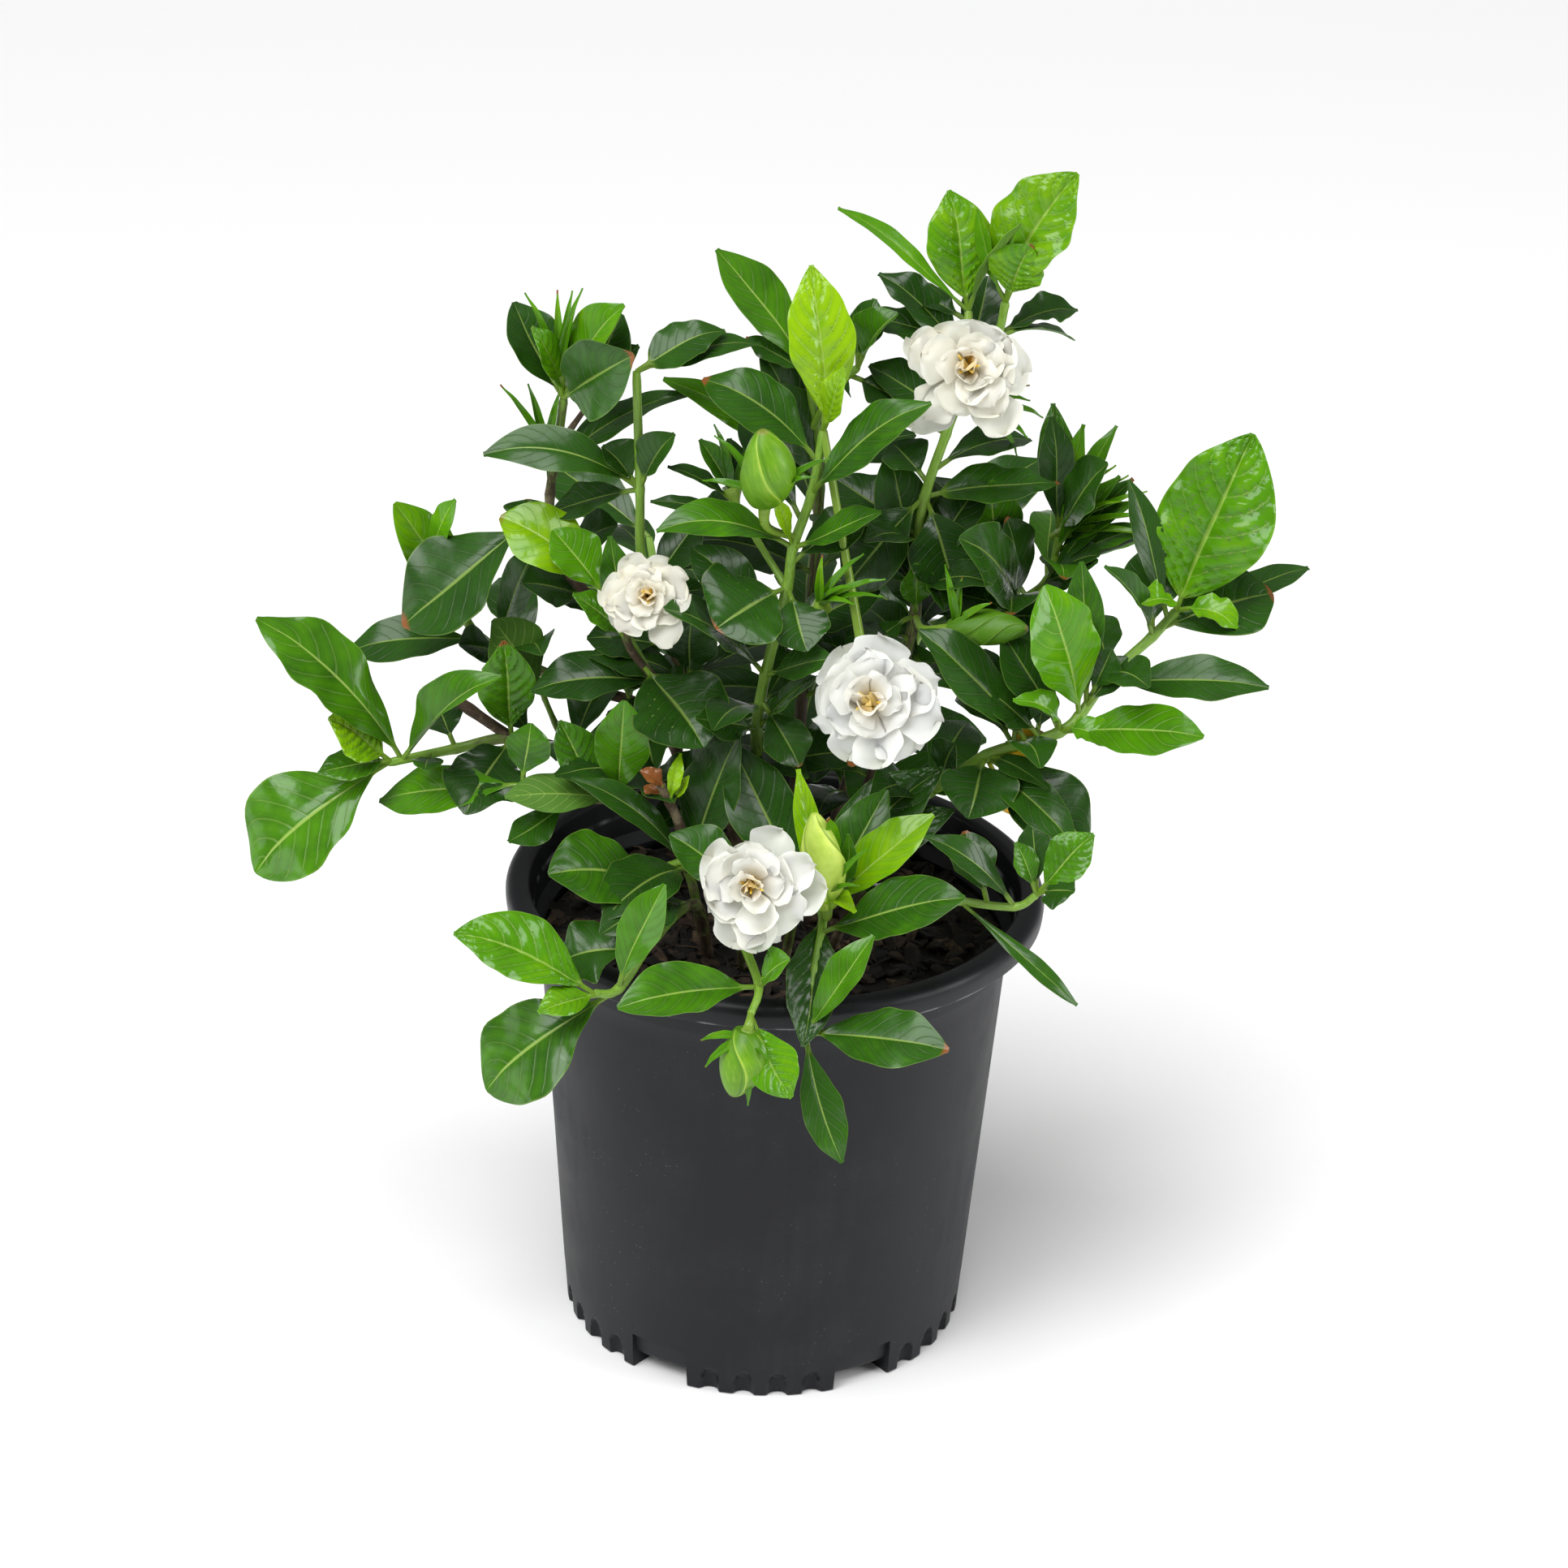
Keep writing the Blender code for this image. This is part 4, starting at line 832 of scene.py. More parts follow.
def petal_shell(radius, azimuth, whorl, random, warmth, lean):
    """One petal as a closed shell over (t, s), in the bloom's own frame with +Z out of its face.

    Its middle runs out as t^0.8 and up as 1 - (1 - t)^2.4, and the rim falls back with t^4. The width grows
    to six tenths of the way, then closes as an ellipse with a small point. It cups with s^2, and low waves
    lift its margins.
    """
    _, reach, width, height, reflex, cup = whorl
    reach = reach * radius * random.uniform(*PETAL_REACHES)
    reach = reach * (1 + lean[0] * math.cos(azimuth) + lean[1] * math.sin(azimuth))
    width = width * radius * random.uniform(*PETAL_WIDTHS)
    height = height * radius * random.uniform(*PETAL_HEIGHTS)
    reflex = reflex * radius * random.uniform(*PETAL_REFLEXES)
    t = (1 - (1 - np.linspace(0, 1, PETAL_ROWS)) ** 1.5)[:, None]
    s = np.sin(np.linspace(-math.pi / 2, math.pi / 2, PETAL_COLUMNS))[None, :]
    run = reach * (0.04 + 0.96 * t**0.8)
    sink = THROAT_SINK * radius
    rise = -sink + (height + sink) * (1 - (1 - t) ** 2.4) - reflex * t**4
    path = np.concatenate([run, rise], axis=1)
    ahead = unit(np.gradient(path, t[:, 0], axis=0))
    normal = np.stack([-ahead[:, 1], ahead[:, 0]], axis=1)
    closing = np.clip((t - PETAL_WIDEST) / (1 - PETAL_WIDEST), 0, 1)
    spread = (0.20 + 0.80 * smoothstep(0, PETAL_WIDEST, t)) * np.sqrt(1 - closing**2.2)
    side = random.uniform(0, FULL_TURN, 4)
    uneven = 1 + 0.10 * np.sin(5.5 * t + side[0]) * np.sign(s) + 0.05 * np.sin(9 * t + side[1])
    uneven = uneven + 0.08 * np.sin(16 * t + side[2]) * np.sign(s) * smoothstep(0.45, 0.80, t)
    x = s * np.maximum(spread * uneven * width / 2, 0.0002)
    point = random.uniform(*PETAL_POINTS) * reach
    point = point * np.exp(-(((s - random.uniform(-0.3, 0.3)) / 0.26) ** 2)) * t**7
    bend = cup * width * s**2 * (0.2 + 0.8 * t)
    wave = 0.085 * np.sin(random.uniform(2.4, 3.8) * s + 1.5 * t + side[2])
    wave = wave + 0.022 * np.sin(random.uniform(6, 8) * s + 3 * t + side[3])
    bend = bend + radius * wave * (0.35 * np.abs(s) ** 2 * t + 0.75 * t**3)
    thick = bpy.context.scene.gardenia_blooms.thickness * (1 - 0.5 * t**4)
    run_grid = path[:, None, 0] + point + normal[:, None, 0] * bend
    rise_grid = path[:, None, 1] + normal[:, None, 1] * bend
    middle = np.stack([run_grid, x, rise_grid], -1)
    lift = np.stack([normal[:, 0], 0 * normal[:, 0], normal[:, 1]], -1)[:, None] * thick[..., None] / 2
    grid, marks = two_faced(middle + lift, middle - lift, t, s)
    tilt = random.uniform(-PETAL_TILT, PETAL_TILT)
    cosine, sine = math.cos(tilt), math.sin(tilt)
    grid = grid @ np.array([[1, 0, 0], [0, cosine, -sine], [0, sine, cosine]]) @ about_z(azimuth)
    deep = np.clip(1 - np.linalg.norm(grid[..., :2], axis=-1) / (THROAT_REACH * radius), 0, 1)
    outwards = [values[:, ::-1] for values in (grid, *marks, deep)]
    return marked_shell(outwards[0], outwards[1:4], (warmth, random.uniform(), outwards[4]))


def bloom_shells(centre, facing, diameter, warmth, lean, seed):
    """Whorls of petals at the golden angle, with a few ochre stamens in the throat."""
    radius = diameter * MM / 2
    random = np.random.default_rng(seed)
    turn = square_to(facing)
    shells = []
    azimuth = random.uniform(0, FULL_TURN)
    for whorl in WHORLS:
        azimuth += GOLDEN_TURN
        for number in range(whorl[0]):
            stray = random.uniform(-PETAL_STRAY, PETAL_STRAY)
            angle = azimuth + 2 * math.pi * number / whorl[0] + stray
            shells.append(petal_shell(radius, angle, whorl, random, warmth, lean))
    share = np.linspace(0, 1, STAMEN_ROWS)[:, None]
    for number in range(STAMENS):
        angle = 2 * math.pi * number / STAMENS + random.uniform(-STAMEN_STRAY, STAMEN_STRAY)
        splay, rise = random.uniform(*STAMEN_SPLAYS), random.uniform(*STAMEN_TIPS)
        foot, top = (np.array([out * math.cos(angle), out * math.sin(angle), up]) * radius
                     for out, up in (STAMEN_FOOT, (splay, rise)))
        line = foot + (top - foot) * share
        grid = tube_grid(line, STAMEN_RADIUS * (1 - 0.5 * share[:, 0] ** 3), STAMEN_SIDES)
        shells.append(marked_shell(grid, (share, 0, 0), (warmth, 0.5, 2.0)))
    for shell in shells:
        shell["points"] = shell["points"] @ turn.T + np.array(centre) * MM
    return shells


def bud_shell(foot, tip, width, folds, turns, pale, phase):
    """A wrapped bud: rings of an egg profile about the foot-to-tip line, with a saw-tooth of a few folds
    that winds round it, so that each petal's edge stands over the next.
    """
    foot, tip = np.array(foot) * MM, np.array(tip) * MM
    length = np.linalg.norm(tip - foot)
    turn = square_to(tip - foot)
    t = np.sin(np.linspace(0, math.pi / 2, BUD_ROWS))[:, None]
    angle = np.linspace(0, 2 * math.pi, BUD_SIDES, endpoint=False)[None, :]
    profile = np.sin(math.pi * np.clip(0.12 + 0.865 * t, 0, 1)) ** 0.60
    profile = profile * (1 - 0.12 * t)
    profile = profile / profile.max()
    saw = (folds * angle / (2 * math.pi) + 0 * t) % 1.0
    angle = angle - 2 * math.pi * (turns * t + 0.04 * np.sin(5 * t + phase))
    step = saw**1.4 * smoothstep(1.0, 0.95, saw) - 0.4
    ridge = 1 + BUD_FOLD * step * smoothstep(0.05, 0.4, t) * (1 - 0.3 * t)
    dent = 1 + 0.03 * np.sin(2 * angle + 5 * t + phase)
    radius = width * MM / 2 * profile * ridge * dent
    lean = BUD_LEAN * length * np.sin(math.pi * t)
    grid = np.stack([radius * np.cos(angle) + lean, radius * np.sin(angle), length * t + 0 * angle], -1)
    return marked_shell(grid @ turn.T + foot, (t, 2 * saw - 1, 0), (pale, 0.5, smoothstep(0.35, 0.0, t)))


def lobe_shell(foot, tip, tone, seed):
    """A slender calyx lobe: a leaf blade a few millimetres wide that bends outwards."""
    foot, tip = np.array(foot, float), np.array(tip, float)
    return leaf_shell(foot * MM, tip * MM, LOBE_WIDTH * MM, 0, 0.0, tone, "lobe", seed, full=False,
                      petiole=LOBE_STALK)


def calyx_shells(foot, towards, width, tone, tips, seed):
    """The green cup behind a bloom or bud, as a short ribbed cone, with its slender lobes."""
    foot, towards = np.array(foot, float), np.array(towards, float)
    way = unit(towards - foot)
    share = np.linspace(0, 1, CALYX_ROWS)
    line = (foot - way * CALYX_BELOW + way * (CALYX_LENGTH + CALYX_GROWTH * width) * share[:, None]) * MM
    radii = (CALYX_RADIUS + (CALYX_WIDTH * width - CALYX_RADIUS) * smoothstep(0.1, 0.9, share)) * MM
    grid = tube_grid(line, radii, CALYX_SIDES, CALYX_RIBS)
    cup = marked_shell(grid, (share[:, None], 0, 0), (tone, 0.5, 1))
    lobes = [lobe_shell(foot + way * LOBE_FOOT, tip, tone, seed + number) for number, tip in enumerate(tips)]
    return [cup, *lobes]


def flower_stalk(start, centre, facing, diameter):
    """The tube behind a bloom: one bend from the shoot's end to the bloom's back, widening with share^3."""
    start, centre = np.array(start, float), np.array(centre, float)
    way = unit(np.array(facing, float))
    back = centre - way * FLOWER_BACK * diameter
    bend = start + (back - way * FLOWER_BEND * diameter - start) * FLOWER_BEND_AT
    line = smooth_line([start, bend, back], NODE_STEPS) * MM
    share = np.linspace(0, 1, len(line))
    radii = (FLOWER_TUBE_RADIUS + (FLOWER_TUBE_END * diameter - FLOWER_TUBE_RADIUS) * share**3) * MM
    grid = tube_grid(line, radii, FLOWER_TUBE_SIDES, FLOWER_TUBE_RIBS)
    return marked_shell(grid, (share[:, None], 0, 0), (GREEN_TONE, 0.5, 1))


def bud_stalk(start, foot, tip):
    """The tube under a bud: one bend from the shoot to the bud's foot, widening with share^2."""
    start, foot, tip = np.array(start, float), np.array(foot, float), np.array(tip, float)
    way = unit(tip - foot)
    bend = foot - way * BUD_TUBE_BEND * np.linalg.norm(foot - start)
    line = smooth_line([start, bend, foot + way * BUD_TUBE_INSIDE], NODE_STEPS) * MM
    share = np.linspace(0, 1, len(line))
    radii = (BUD_TUBE_RADIUS + BUD_TUBE_GROWTH * share**2) * MM
    grid = tube_grid(line, radii, BUD_TUBE_SIDES, BUD_TUBE_RIBS)
    return marked_shell(grid, (share[:, None], 0, 0), (GREEN_TONE, 0.5, 1))


# ---------------------------------------------------------------- pot and mix

def body_radius(height):
    """The pot's outer wall, which tapers evenly from the collar to the ground."""
    return FOOT_RADIUS + (BODY_RADIUS - FOOT_RADIUS) * height / COLLAR_BOTTOM


def arc_points(centre, radius, start, end, count):
    """Points on part of a circle in (radius, height), from one angle to another in degrees."""
    angle = np.radians(np.linspace(start, end, count))
    return np.stack([centre[0] + radius * np.cos(angle), centre[1] + radius * np.sin(angle)], -1)


def pot_angles():
    """Angles round the pot in degrees from a foot's middle, close together on the feet."""
    foot = np.linspace(-FOOT_HALF_ANGLE, FOOT_HALF_ANGLE, FOOT_POINTS)
    edge = FOOT_HALF_ANGLE + CHANNEL_EDGE
    sector = np.concatenate([foot, np.linspace(edge, FOOT_PITCH - edge, CHANNEL_POINTS)])
    return np.concatenate([sector + FOOT_PITCH * number for number in range(FEET)])


def pot_profile():
    """The skin above the feet in (radius, height): up the inside and round the lip, then down the wall."""
    inside = np.array([
        (0.002, FLOOR_HEIGHT), (0.040, FLOOR_HEIGHT), (body_radius(FLOOR_HEIGHT) - WALL - 0.001, 0.0078),
        (body_radius(0.010) - WALL, 0.010), (body_radius(0.100) - WALL, 0.100),
        (BODY_RADIUS - WALL, COLLAR_BOTTOM - 0.002), (COLLAR_RADIUS - WALL, COLLAR_BOTTOM + 0.003),
        (COLLAR_RADIUS - WALL + 0.0002, LIP_BOTTOM - 0.001), (0.1085, LIP_BOTTOM + 0.003),
        (0.1088, POT_HEIGHT - 0.004)])
    lip = np.concatenate([arc_points((0.1125, POT_HEIGHT - 0.0035), 0.0035, 180, 95, 7),
                          arc_points((0.1150, POT_HEIGHT - 0.0050), 0.0050, 85, 0, 9)])
    lip[:, 0] = np.minimum(lip[:, 0], RIM_RADIUS)
    outer_lip = np.array([
        (RIM_RADIUS - 0.0002, LIP_BOTTOM + 0.0030), (RIM_RADIUS - 0.0005, LIP_BOTTOM + 0.0008),
        (RIM_RADIUS - 0.0012, LIP_BOTTOM), (RIM_RADIUS - 0.0030, LIP_BOTTOM - 0.0001),
        (COLLAR_RADIUS + 0.0020, LIP_BOTTOM), (COLLAR_RADIUS + 0.0008, LIP_BOTTOM - 0.0008),
        (COLLAR_RADIUS + 0.0004, LIP_BOTTOM - 0.0025), (COLLAR_RADIUS, COLLAR_BOTTOM + 0.0020),
        (COLLAR_RADIUS - 0.0004, COLLAR_BOTTOM + 0.0006), (COLLAR_RADIUS - 0.0014, COLLAR_BOTTOM),
        (BODY_RADIUS + 0.0005, COLLAR_BOTTOM - 0.0001), (BODY_RADIUS, COLLAR_BOTTOM - 0.0010)])
    heights = np.concatenate([np.linspace(0.180, 0.040, 9), np.linspace(0.034, FOOT_TOP, 6)])
    return np.concatenate([inside, lip, outer_lip]), np.stack([body_radius(heights), heights], -1)


def pot_feet(degrees):
    """The skin below the wall, as radius and height over (ring, angle): skirt, foot ring, recessed middle.

    Each ring's height falls to the foot's height at its angle: 0 on a foot and FOOT_HEIGHT in a channel.
    """
    in_foot = np.abs((degrees + FOOT_HALF_ANGLE) % FOOT_PITCH - FOOT_HALF_ANGLE) <= FOOT_HALF_ANGLE + 0.01
    floor = np.where(in_foot, 0.0, FOOT_HEIGHT)
    share = np.append(np.linspace(0.04, 0.94, 14), 0.985)[:, None]
    skirt_z = FOOT_TOP + (floor + 0.0006 - FOOT_TOP) * share
    flat_r = np.array([body_radius(0.0) - 0.0007, body_radius(0.0) - 0.0016, 0.078, 0.066, 0.056,
                       CHANNEL_RADIUS + 0.0004])[:, None] + 0 * degrees[None]
    flat_r[:2] = np.minimum(flat_r[:2], body_radius(floor) - np.array([[0.0006], [0.0016]]))
    flat_z = floor + 0 * flat_r
    flat_z[0] += 0.0002
    centre_r = np.array([CHANNEL_RADIUS, 0.0455, 0.0440, 0.020, 0.002])[:, None] + 0 * degrees[None]
    centre_z = np.repeat([0.0, RECESS_HEIGHT], (2, 3))[:, None] + 0 * degrees[None]
    radius = np.concatenate([body_radius(skirt_z), flat_r, centre_r])
    return radius, np.concatenate([skirt_z, flat_z, centre_z])


def flute_depth(degrees, height):
    """How far the wall is pushed in: by half an ellipse across each flute, under an arched top."""
    from_foot = (degrees + FOOT_PITCH / 2) % FOOT_PITCH - FOOT_PITCH / 2
    cut = 0 * height
    for flute in FLUTE_ANGLES:
        offset = np.clip(np.abs(from_foot - flute) / FLUTE_HALF_ANGLE, 0, 1)[None]
        arch = FLUTE_FOOT + (FLUTE_TOP - FLUTE_FOOT) * np.sqrt(1 - offset**2)
        hollow = np.sqrt(1 - offset**2) * smoothstep(0, 0.0016, arch - height)
        cut = np.maximum(cut, FLUTE_DEPTH * hollow)
    return cut


def pot_shell():
    """The pot as one turned skin over (profile, angle): up the inside, down the outside and in below."""
    upper, body = pot_profile()
    fixed = np.concatenate([upper, body])
    degrees = pot_angles()
    feet_r, feet_z = pot_feet(degrees)
    radius = np.concatenate([fixed[:, :1] + 0 * degrees[None], feet_r])
    height = np.concatenate([fixed[:, 1:] + 0 * degrees[None], feet_z])
    outside = np.arange(len(radius))[:, None] >= len(upper)
    radius = radius - np.where(outside & (radius > 0.080), flute_depth(degrees, height), 0)
    uneven = sum(depth * np.sin(np.radians(bends * degrees + turn)) for depth, bends, turn in UNEVEN)
    radius = radius + uneven * smoothstep(0.02, 0.12, height) * (radius > 0.06)
    angle = np.radians(degrees - 90)
    grid = np.stack([radius * np.cos(angle), radius * np.sin(angle), height], -1)
    return closed_shell(grid[:, ::-1], {})


def mix_mound():
    """The mix as a turned body: its top rises with 1 - r^2 to the middle, with crossed waves as lumps."""
    angle = np.linspace(0, 2 * math.pi, 120, endpoint=False)
    inner = BODY_RADIUS - WALL
    sides = np.array([
        (0.002, 0.0085), (0.080, 0.0085), (body_radius(0.011) - WALL - 0.001, 0.011),
        (body_radius(0.100) - WALL - 0.0008, 0.100), (inner - 0.0012, 0.182)])
    share = np.linspace(0.99, 0.01, 40)
    top_radius = (inner - MIX_GAP) * share
    x = top_radius[:, None] * np.cos(angle)
    y = top_radius[:, None] * np.sin(angle)
    lumps = 0
    random = np.random.default_rng(LUMP_SEED)
    for scale in LUMP_SCALES:
        shift = random.uniform(0, FULL_TURN, 3)
        wave = np.sin(scale * x + shift[0] + 1.7 * np.sin(0.7 * scale * y + shift[2]))
        lumps = lumps + wave * np.sin(scale * y + shift[1]) * LUMP_HEIGHT / scale
    crown = MIX_EDGE_HEIGHT + (MIX_CROWN_HEIGHT - MIX_EDGE_HEIGHT - 0.002) * (1 - share**2)
    radius = np.concatenate([sides[:, :1] + 0 * angle, top_radius[:, None] + 0 * angle])
    height = np.concatenate([sides[:, 1:] + 0 * angle, crown[:, None] + lumps])
    grid = np.stack([radius * np.cos(angle), radius * np.sin(angle), height], -1)
    return marked_shell(grid, (1, 0, 0), (0.2, 0.4, 0))


def chip_shells(number, seed):
    """Bark chips: squashed super-ellipses of a few millimetres, laid flat with a random lean."""
    random = np.random.default_rng(seed)
    angle = np.linspace(0, 2 * math.pi, CHIP_SIDES, endpoint=False)[None, :]
    level = np.array(CHIP_LEVELS)[:, None]
    shells = []
    for _ in range(number):
        far = CHIP_REACH * math.sqrt(random.uniform(0.0, 1.0))
        turn = random.uniform(0, FULL_TURN)
        x, y = far * math.cos(turn), far * math.sin(turn)
        z = MIX_EDGE_HEIGHT + CHIP_RISE * (1 - (far / HEAP_RADIUS) ** 2) + random.uniform(-0.001, 0.0015)
        long, wide, thick = (random.uniform(*sizes) for sizes in (CHIP_LENGTHS, CHIP_WIDTHS, CHIP_DEPTHS))
        rough = 1 + random.uniform(-0.25, 0.25, (len(CHIP_LEVELS), CHIP_SIDES))
        ring = (np.abs(np.cos(angle)) ** 4 + np.abs(np.sin(angle)) ** 4) ** -0.25 * rough
        ring = ring * np.where(np.abs(level) > 0.9, 0.72, 1.0)
        grid = np.stack([long * ring * np.cos(angle), wide * ring * np.sin(angle),
                         thick * level + CHIP_BEND * ring * np.sin(3 * angle)], -1)
        lean = square_to((random.uniform(-0.5, 0.5), random.uniform(-0.5, 0.5), 1.0))
        grid = grid @ about_z(random.uniform(0, FULL_TURN)) @ lean.T + (x, y, z)
        shells.append(marked_shell(grid, (1, 0, 0), (random.uniform(), random.uniform(), 0)))
    return shells


def fibre_shells(number, seed):
    """Root and bark fibres: thin tubes on a short random curve just above the mix."""
    random = np.random.default_rng(seed)
    steps = np.linspace(0, 1, FIBRE_POINTS)
    shells = []
    for _ in range(number):
        far = FIBRE_REACH * math.sqrt(random.uniform(0.0, 1.0))
        turn, heading = random.uniform(0, FULL_TURN, 2)
        start = np.array([far * math.cos(turn), far * math.sin(turn), 0.0])
        bends = heading + random.uniform(-1.6, 1.6) * steps
        reach = random.uniform(*FIBRE_LENGTHS)
        way = np.stack([np.cumsum(np.cos(bends)), np.cumsum(np.sin(bends)), 0 * steps], -1)
        line = start + way * reach / FIBRE_POINTS
        away = np.linalg.norm(line[:, :2], axis=1)
        line[:, :2] *= np.minimum(1, HEAP_RADIUS / np.maximum(away, 1e-6))[:, None]
        rise = FIBRE_RISE * (1 - (away / HEAP_RADIUS) ** 2) + FIBRE_ARCH * np.sin(math.pi * steps)
        line[:, 2] = MIX_EDGE_HEIGHT + rise
        grid = tube_grid(line, np.full(FIBRE_POINTS, random.uniform(*FIBRE_RADII)), FIBRE_SIDES)
        shells.append(marked_shell(grid, (1, 0, 0), (random.uniform(0.5, 1), 1, 0)))
    return shells


# ---------------------------------------------------------------- finishes

def colour(red, green, blue):
    """A display colour of 0 to 255 as the linear numbers that Blender keeps."""
    share = np.array([red, green, blue]) / 255
    linear = np.where(share <= 0.04045, share / 12.92, ((share + 0.055) / 1.055) ** 2.4)
    return tuple(linear.tolist())


class Recipe:
    """A material's node tree, with one short call for each kind of node that returns its output socket."""

    def __init__(self, name):
        self.finish = bpy.data.materials.new(name)
        self.finish.use_nodes = True
        self.tree = self.finish.node_tree
        self.surface = self.tree.nodes["Principled BSDF"]

    def feed(self, socket, value):
        """Links an output to a socket, or sets the socket to a plain value"""
        if isinstance(value, bpy.types.NodeSocket):
            self.tree.links.new(value, socket)
        elif socket.type == "RGBA":
            socket.default_value = (*value[:3], 1.0)
        else:
            socket.default_value = value

    def add(self, kind, inputs, **settings):
        made = self.tree.nodes.new("ShaderNode" + kind)
        for name, value in settings.items():
            setattr(made, name, value)
        for name, value in inputs.items():
            self.feed(made.inputs[name], value)
        return made

    def mark(self, name):
        """The three values of a mark that the pieces carry"""
        attribute = self.add("Attribute", {}, attribute_name=name)
        return tuple(self.add("SeparateXYZ", {0: attribute.outputs["Vector"]}).outputs)

    def place(self, scale=(1.0, 1.0, 1.0)):
        """The place on the object, stretched where a scale is under 1"""
        place = self.add("TexCoord", {}).outputs["Object"]
        return self.add("VectorMath", {0: place, 1: scale}, operation="MULTIPLY").outputs[0]

    def joined(self, x, y, z):
        return self.add("CombineXYZ", {0: x, 1: y, 2: z}).outputs[0]

    def maths(self, operation, *values):
        return self.add("Math", dict(enumerate(values)), operation=operation).outputs[0]

    def times(self, *values):
        return self.maths("MULTIPLY", *values)

    def plus(self, value, added, factor=1.0):
        """value + factor * added"""
        return self.maths("MULTIPLY_ADD", added, factor, value)

    def varied(self, value, wander, amount, middle=0.5):
        """value, moved up and down by an amount as another value wanders about its middle"""
        return self.plus(value, self.maths("SUBTRACT", wander, middle), amount)

    def sloped(self, value, low, high, start=0.0, end=1.0):
        """start below low and end past high, with a smooth slope between them"""
        inputs = {0: value, 1: low, 2: high, 3: start, 4: end}
        return self.add("MapRange", inputs, interpolation_type="SMOOTHSTEP").outputs[0]

    def mix(self, share, first, second):
        return self.add("Mix", {0: share, 6: first, 7: second}, data_type="RGBA").outputs[2]

    def noise(self, vector, scale, detail=3.0, rough=0.5, warp=0.0):
        inputs = {"Vector": vector, "Scale": scale, "Detail": detail, "Roughness": rough,
                  "Distortion": warp}
        return self.add("TexNoise", inputs).outputs[0]

    def cells(self, vector, scale):
        return self.add("TexVoronoi", {"Vector": vector, "Scale": scale}).outputs["Distance"]

    def ramp(self, value, stops):
        made = self.add("ValToRGB", {0: value})
        elements = made.color_ramp.elements
        while len(elements) < len(stops):
            elements.new(0.5)
        for element, (position, shade) in zip(elements, stops):
            element.position = position
            element.color = (*shade[:3], 1.0)
        return made.outputs[0]

    def bump(self, height, distance, strength=1.0):
        made = self.add("Bump", {"Height": height, "Distance": distance, "Strength": strength})
        self.feed(self.surface.inputs["Normal"], made.outputs[0])

    def done(self, base, roughness, **uniform):
        """Joins colour and roughness to the surface, and sets the values that are the same all over"""
        self.feed(self.surface.inputs["Base Color"], base)
        self.feed(self.surface.inputs["Roughness"], roughness)
        for name, value in uniform.items():
            self.feed(self.surface.inputs[name.replace("_", " ")], value)
        return self.finish


def leaf_finish():
    """Waxy blades: tone by leaf, its dark end partly painted shade, painted shade in the vein furrows, paler
    ribs, side veins and margins, and a pale dull underside.
    """
    looks = bpy.context.scene.gardenia_leaves
    make = Recipe("Leaf blade")
    along, across, under = make.mark("Blade")
    tone, seed, stalk = make.mark("Kind")
    place = make.place()
    across = make.maths("ABSOLUTE", across)
    patch = make.noise(place, 70, 3)
    fleck = make.noise(place, 620, 3)
    slant = make.times(make.maths("POWER", across, VEIN_CURVE), -VEIN_SLANT)
    wander = make.times(make.maths("SUBTRACT", patch, 0.5), 0.035)
    phase = make.times(make.maths("ADD", make.maths("ADD", along, slant), wander), SIDE_VEINS)
    gap = make.maths("PINGPONG", phase, 0.5)
    fine = make.maths("PINGPONG", make.plus(make.times(fleck, 1.6), phase, 4.0), 0.5)
    inside = make.sloped(across, 0.96, 0.80)
    side_vein = make.times(make.sloped(gap, 0.075, 0.02), inside)
    fine_vein = make.times(make.sloped(fine, 0.2, 0.05), inside)
    midrib = make.sloped(make.plus(across, along, 0.03), 0.066, 0.032)
    margin = make.sloped(across, 0.955, 0.99)

    shade = make.varied(tone, patch, 0.45)
    shade = make.varied(shade, seed, 0.10)
    # Darker along the side veins, where the blade sinks between its bulges, and lighter on the bulges:
    # painted shade and painted light of the quilting
    shade = make.varied(shade, gap, 0.16, 0.25)
    # The ramp's darkest green, at tone 0, is partly painted shade for the leaves deep in the shrub
    base = make.ramp(shade, [(0.0, looks.shaded_colour), (0.3, looks.mature_colour),
                             (0.66, looks.young_colour), (1.0, looks.new_colour)])
    base = make.mix(make.times(fine_vein, 0.02), base, looks.vein_colour)
    vein_share = make.sloped(tone, 0.2, 0.8, 0.03, 0.20)
    base = make.mix(make.times(side_vein, vein_share), base, looks.vein_colour)
    base = make.mix(make.times(margin, 0.16), base, looks.vein_colour)
    rib_share = make.sloped(tone, 0.05, 0.5, 0.40, 0.58)
    base = make.mix(make.times(midrib, rib_share), base, looks.vein_colour)
    brown_tip = make.sloped(make.plus(along, patch, 0.08), 0.985, 1.02)
    spoilt = make.times(brown_tip, make.sloped(seed, 0.86, 0.90))
    base = make.mix(make.sloped(tone, 1.2, 1.3), base, looks.yellowed_colour)
    base = make.mix(make.maths("MAXIMUM", spoilt, make.sloped(tone, 1.7, 1.9)), base, looks.spoilt_colour)
    veined = make.maths("MAXIMUM", side_vein, midrib)
    pale = make.mix(make.times(veined, 0.5), looks.under_colour, looks.vein_colour)
    pale = make.mix(make.times(fleck, 0.3), pale, looks.mature_colour)
    base = make.mix(make.times(under, 0.75), base, pale)
    base = make.mix(make.times(stalk, 0.8), base, looks.stalk_colour)

    rough = make.plus(make.sloped(tone, 0.25, 0.60, 0.20, 0.09), patch, 0.14)
    rough = make.plus(rough, veined, 0.12)
    rough = make.maths("MAXIMUM", rough, make.times(under, 0.58))
    dimple = make.noise(place, 210, 2)
    relief = make.plus(make.plus(patch, dimple, 0.6), side_vein, -0.45)
    make.bump(relief, 0.00028, 0.7)
    return make.done(base, rough, Coat_Weight=0.06, Coat_Roughness=0.08, Specular_IOR_Level=0.28)


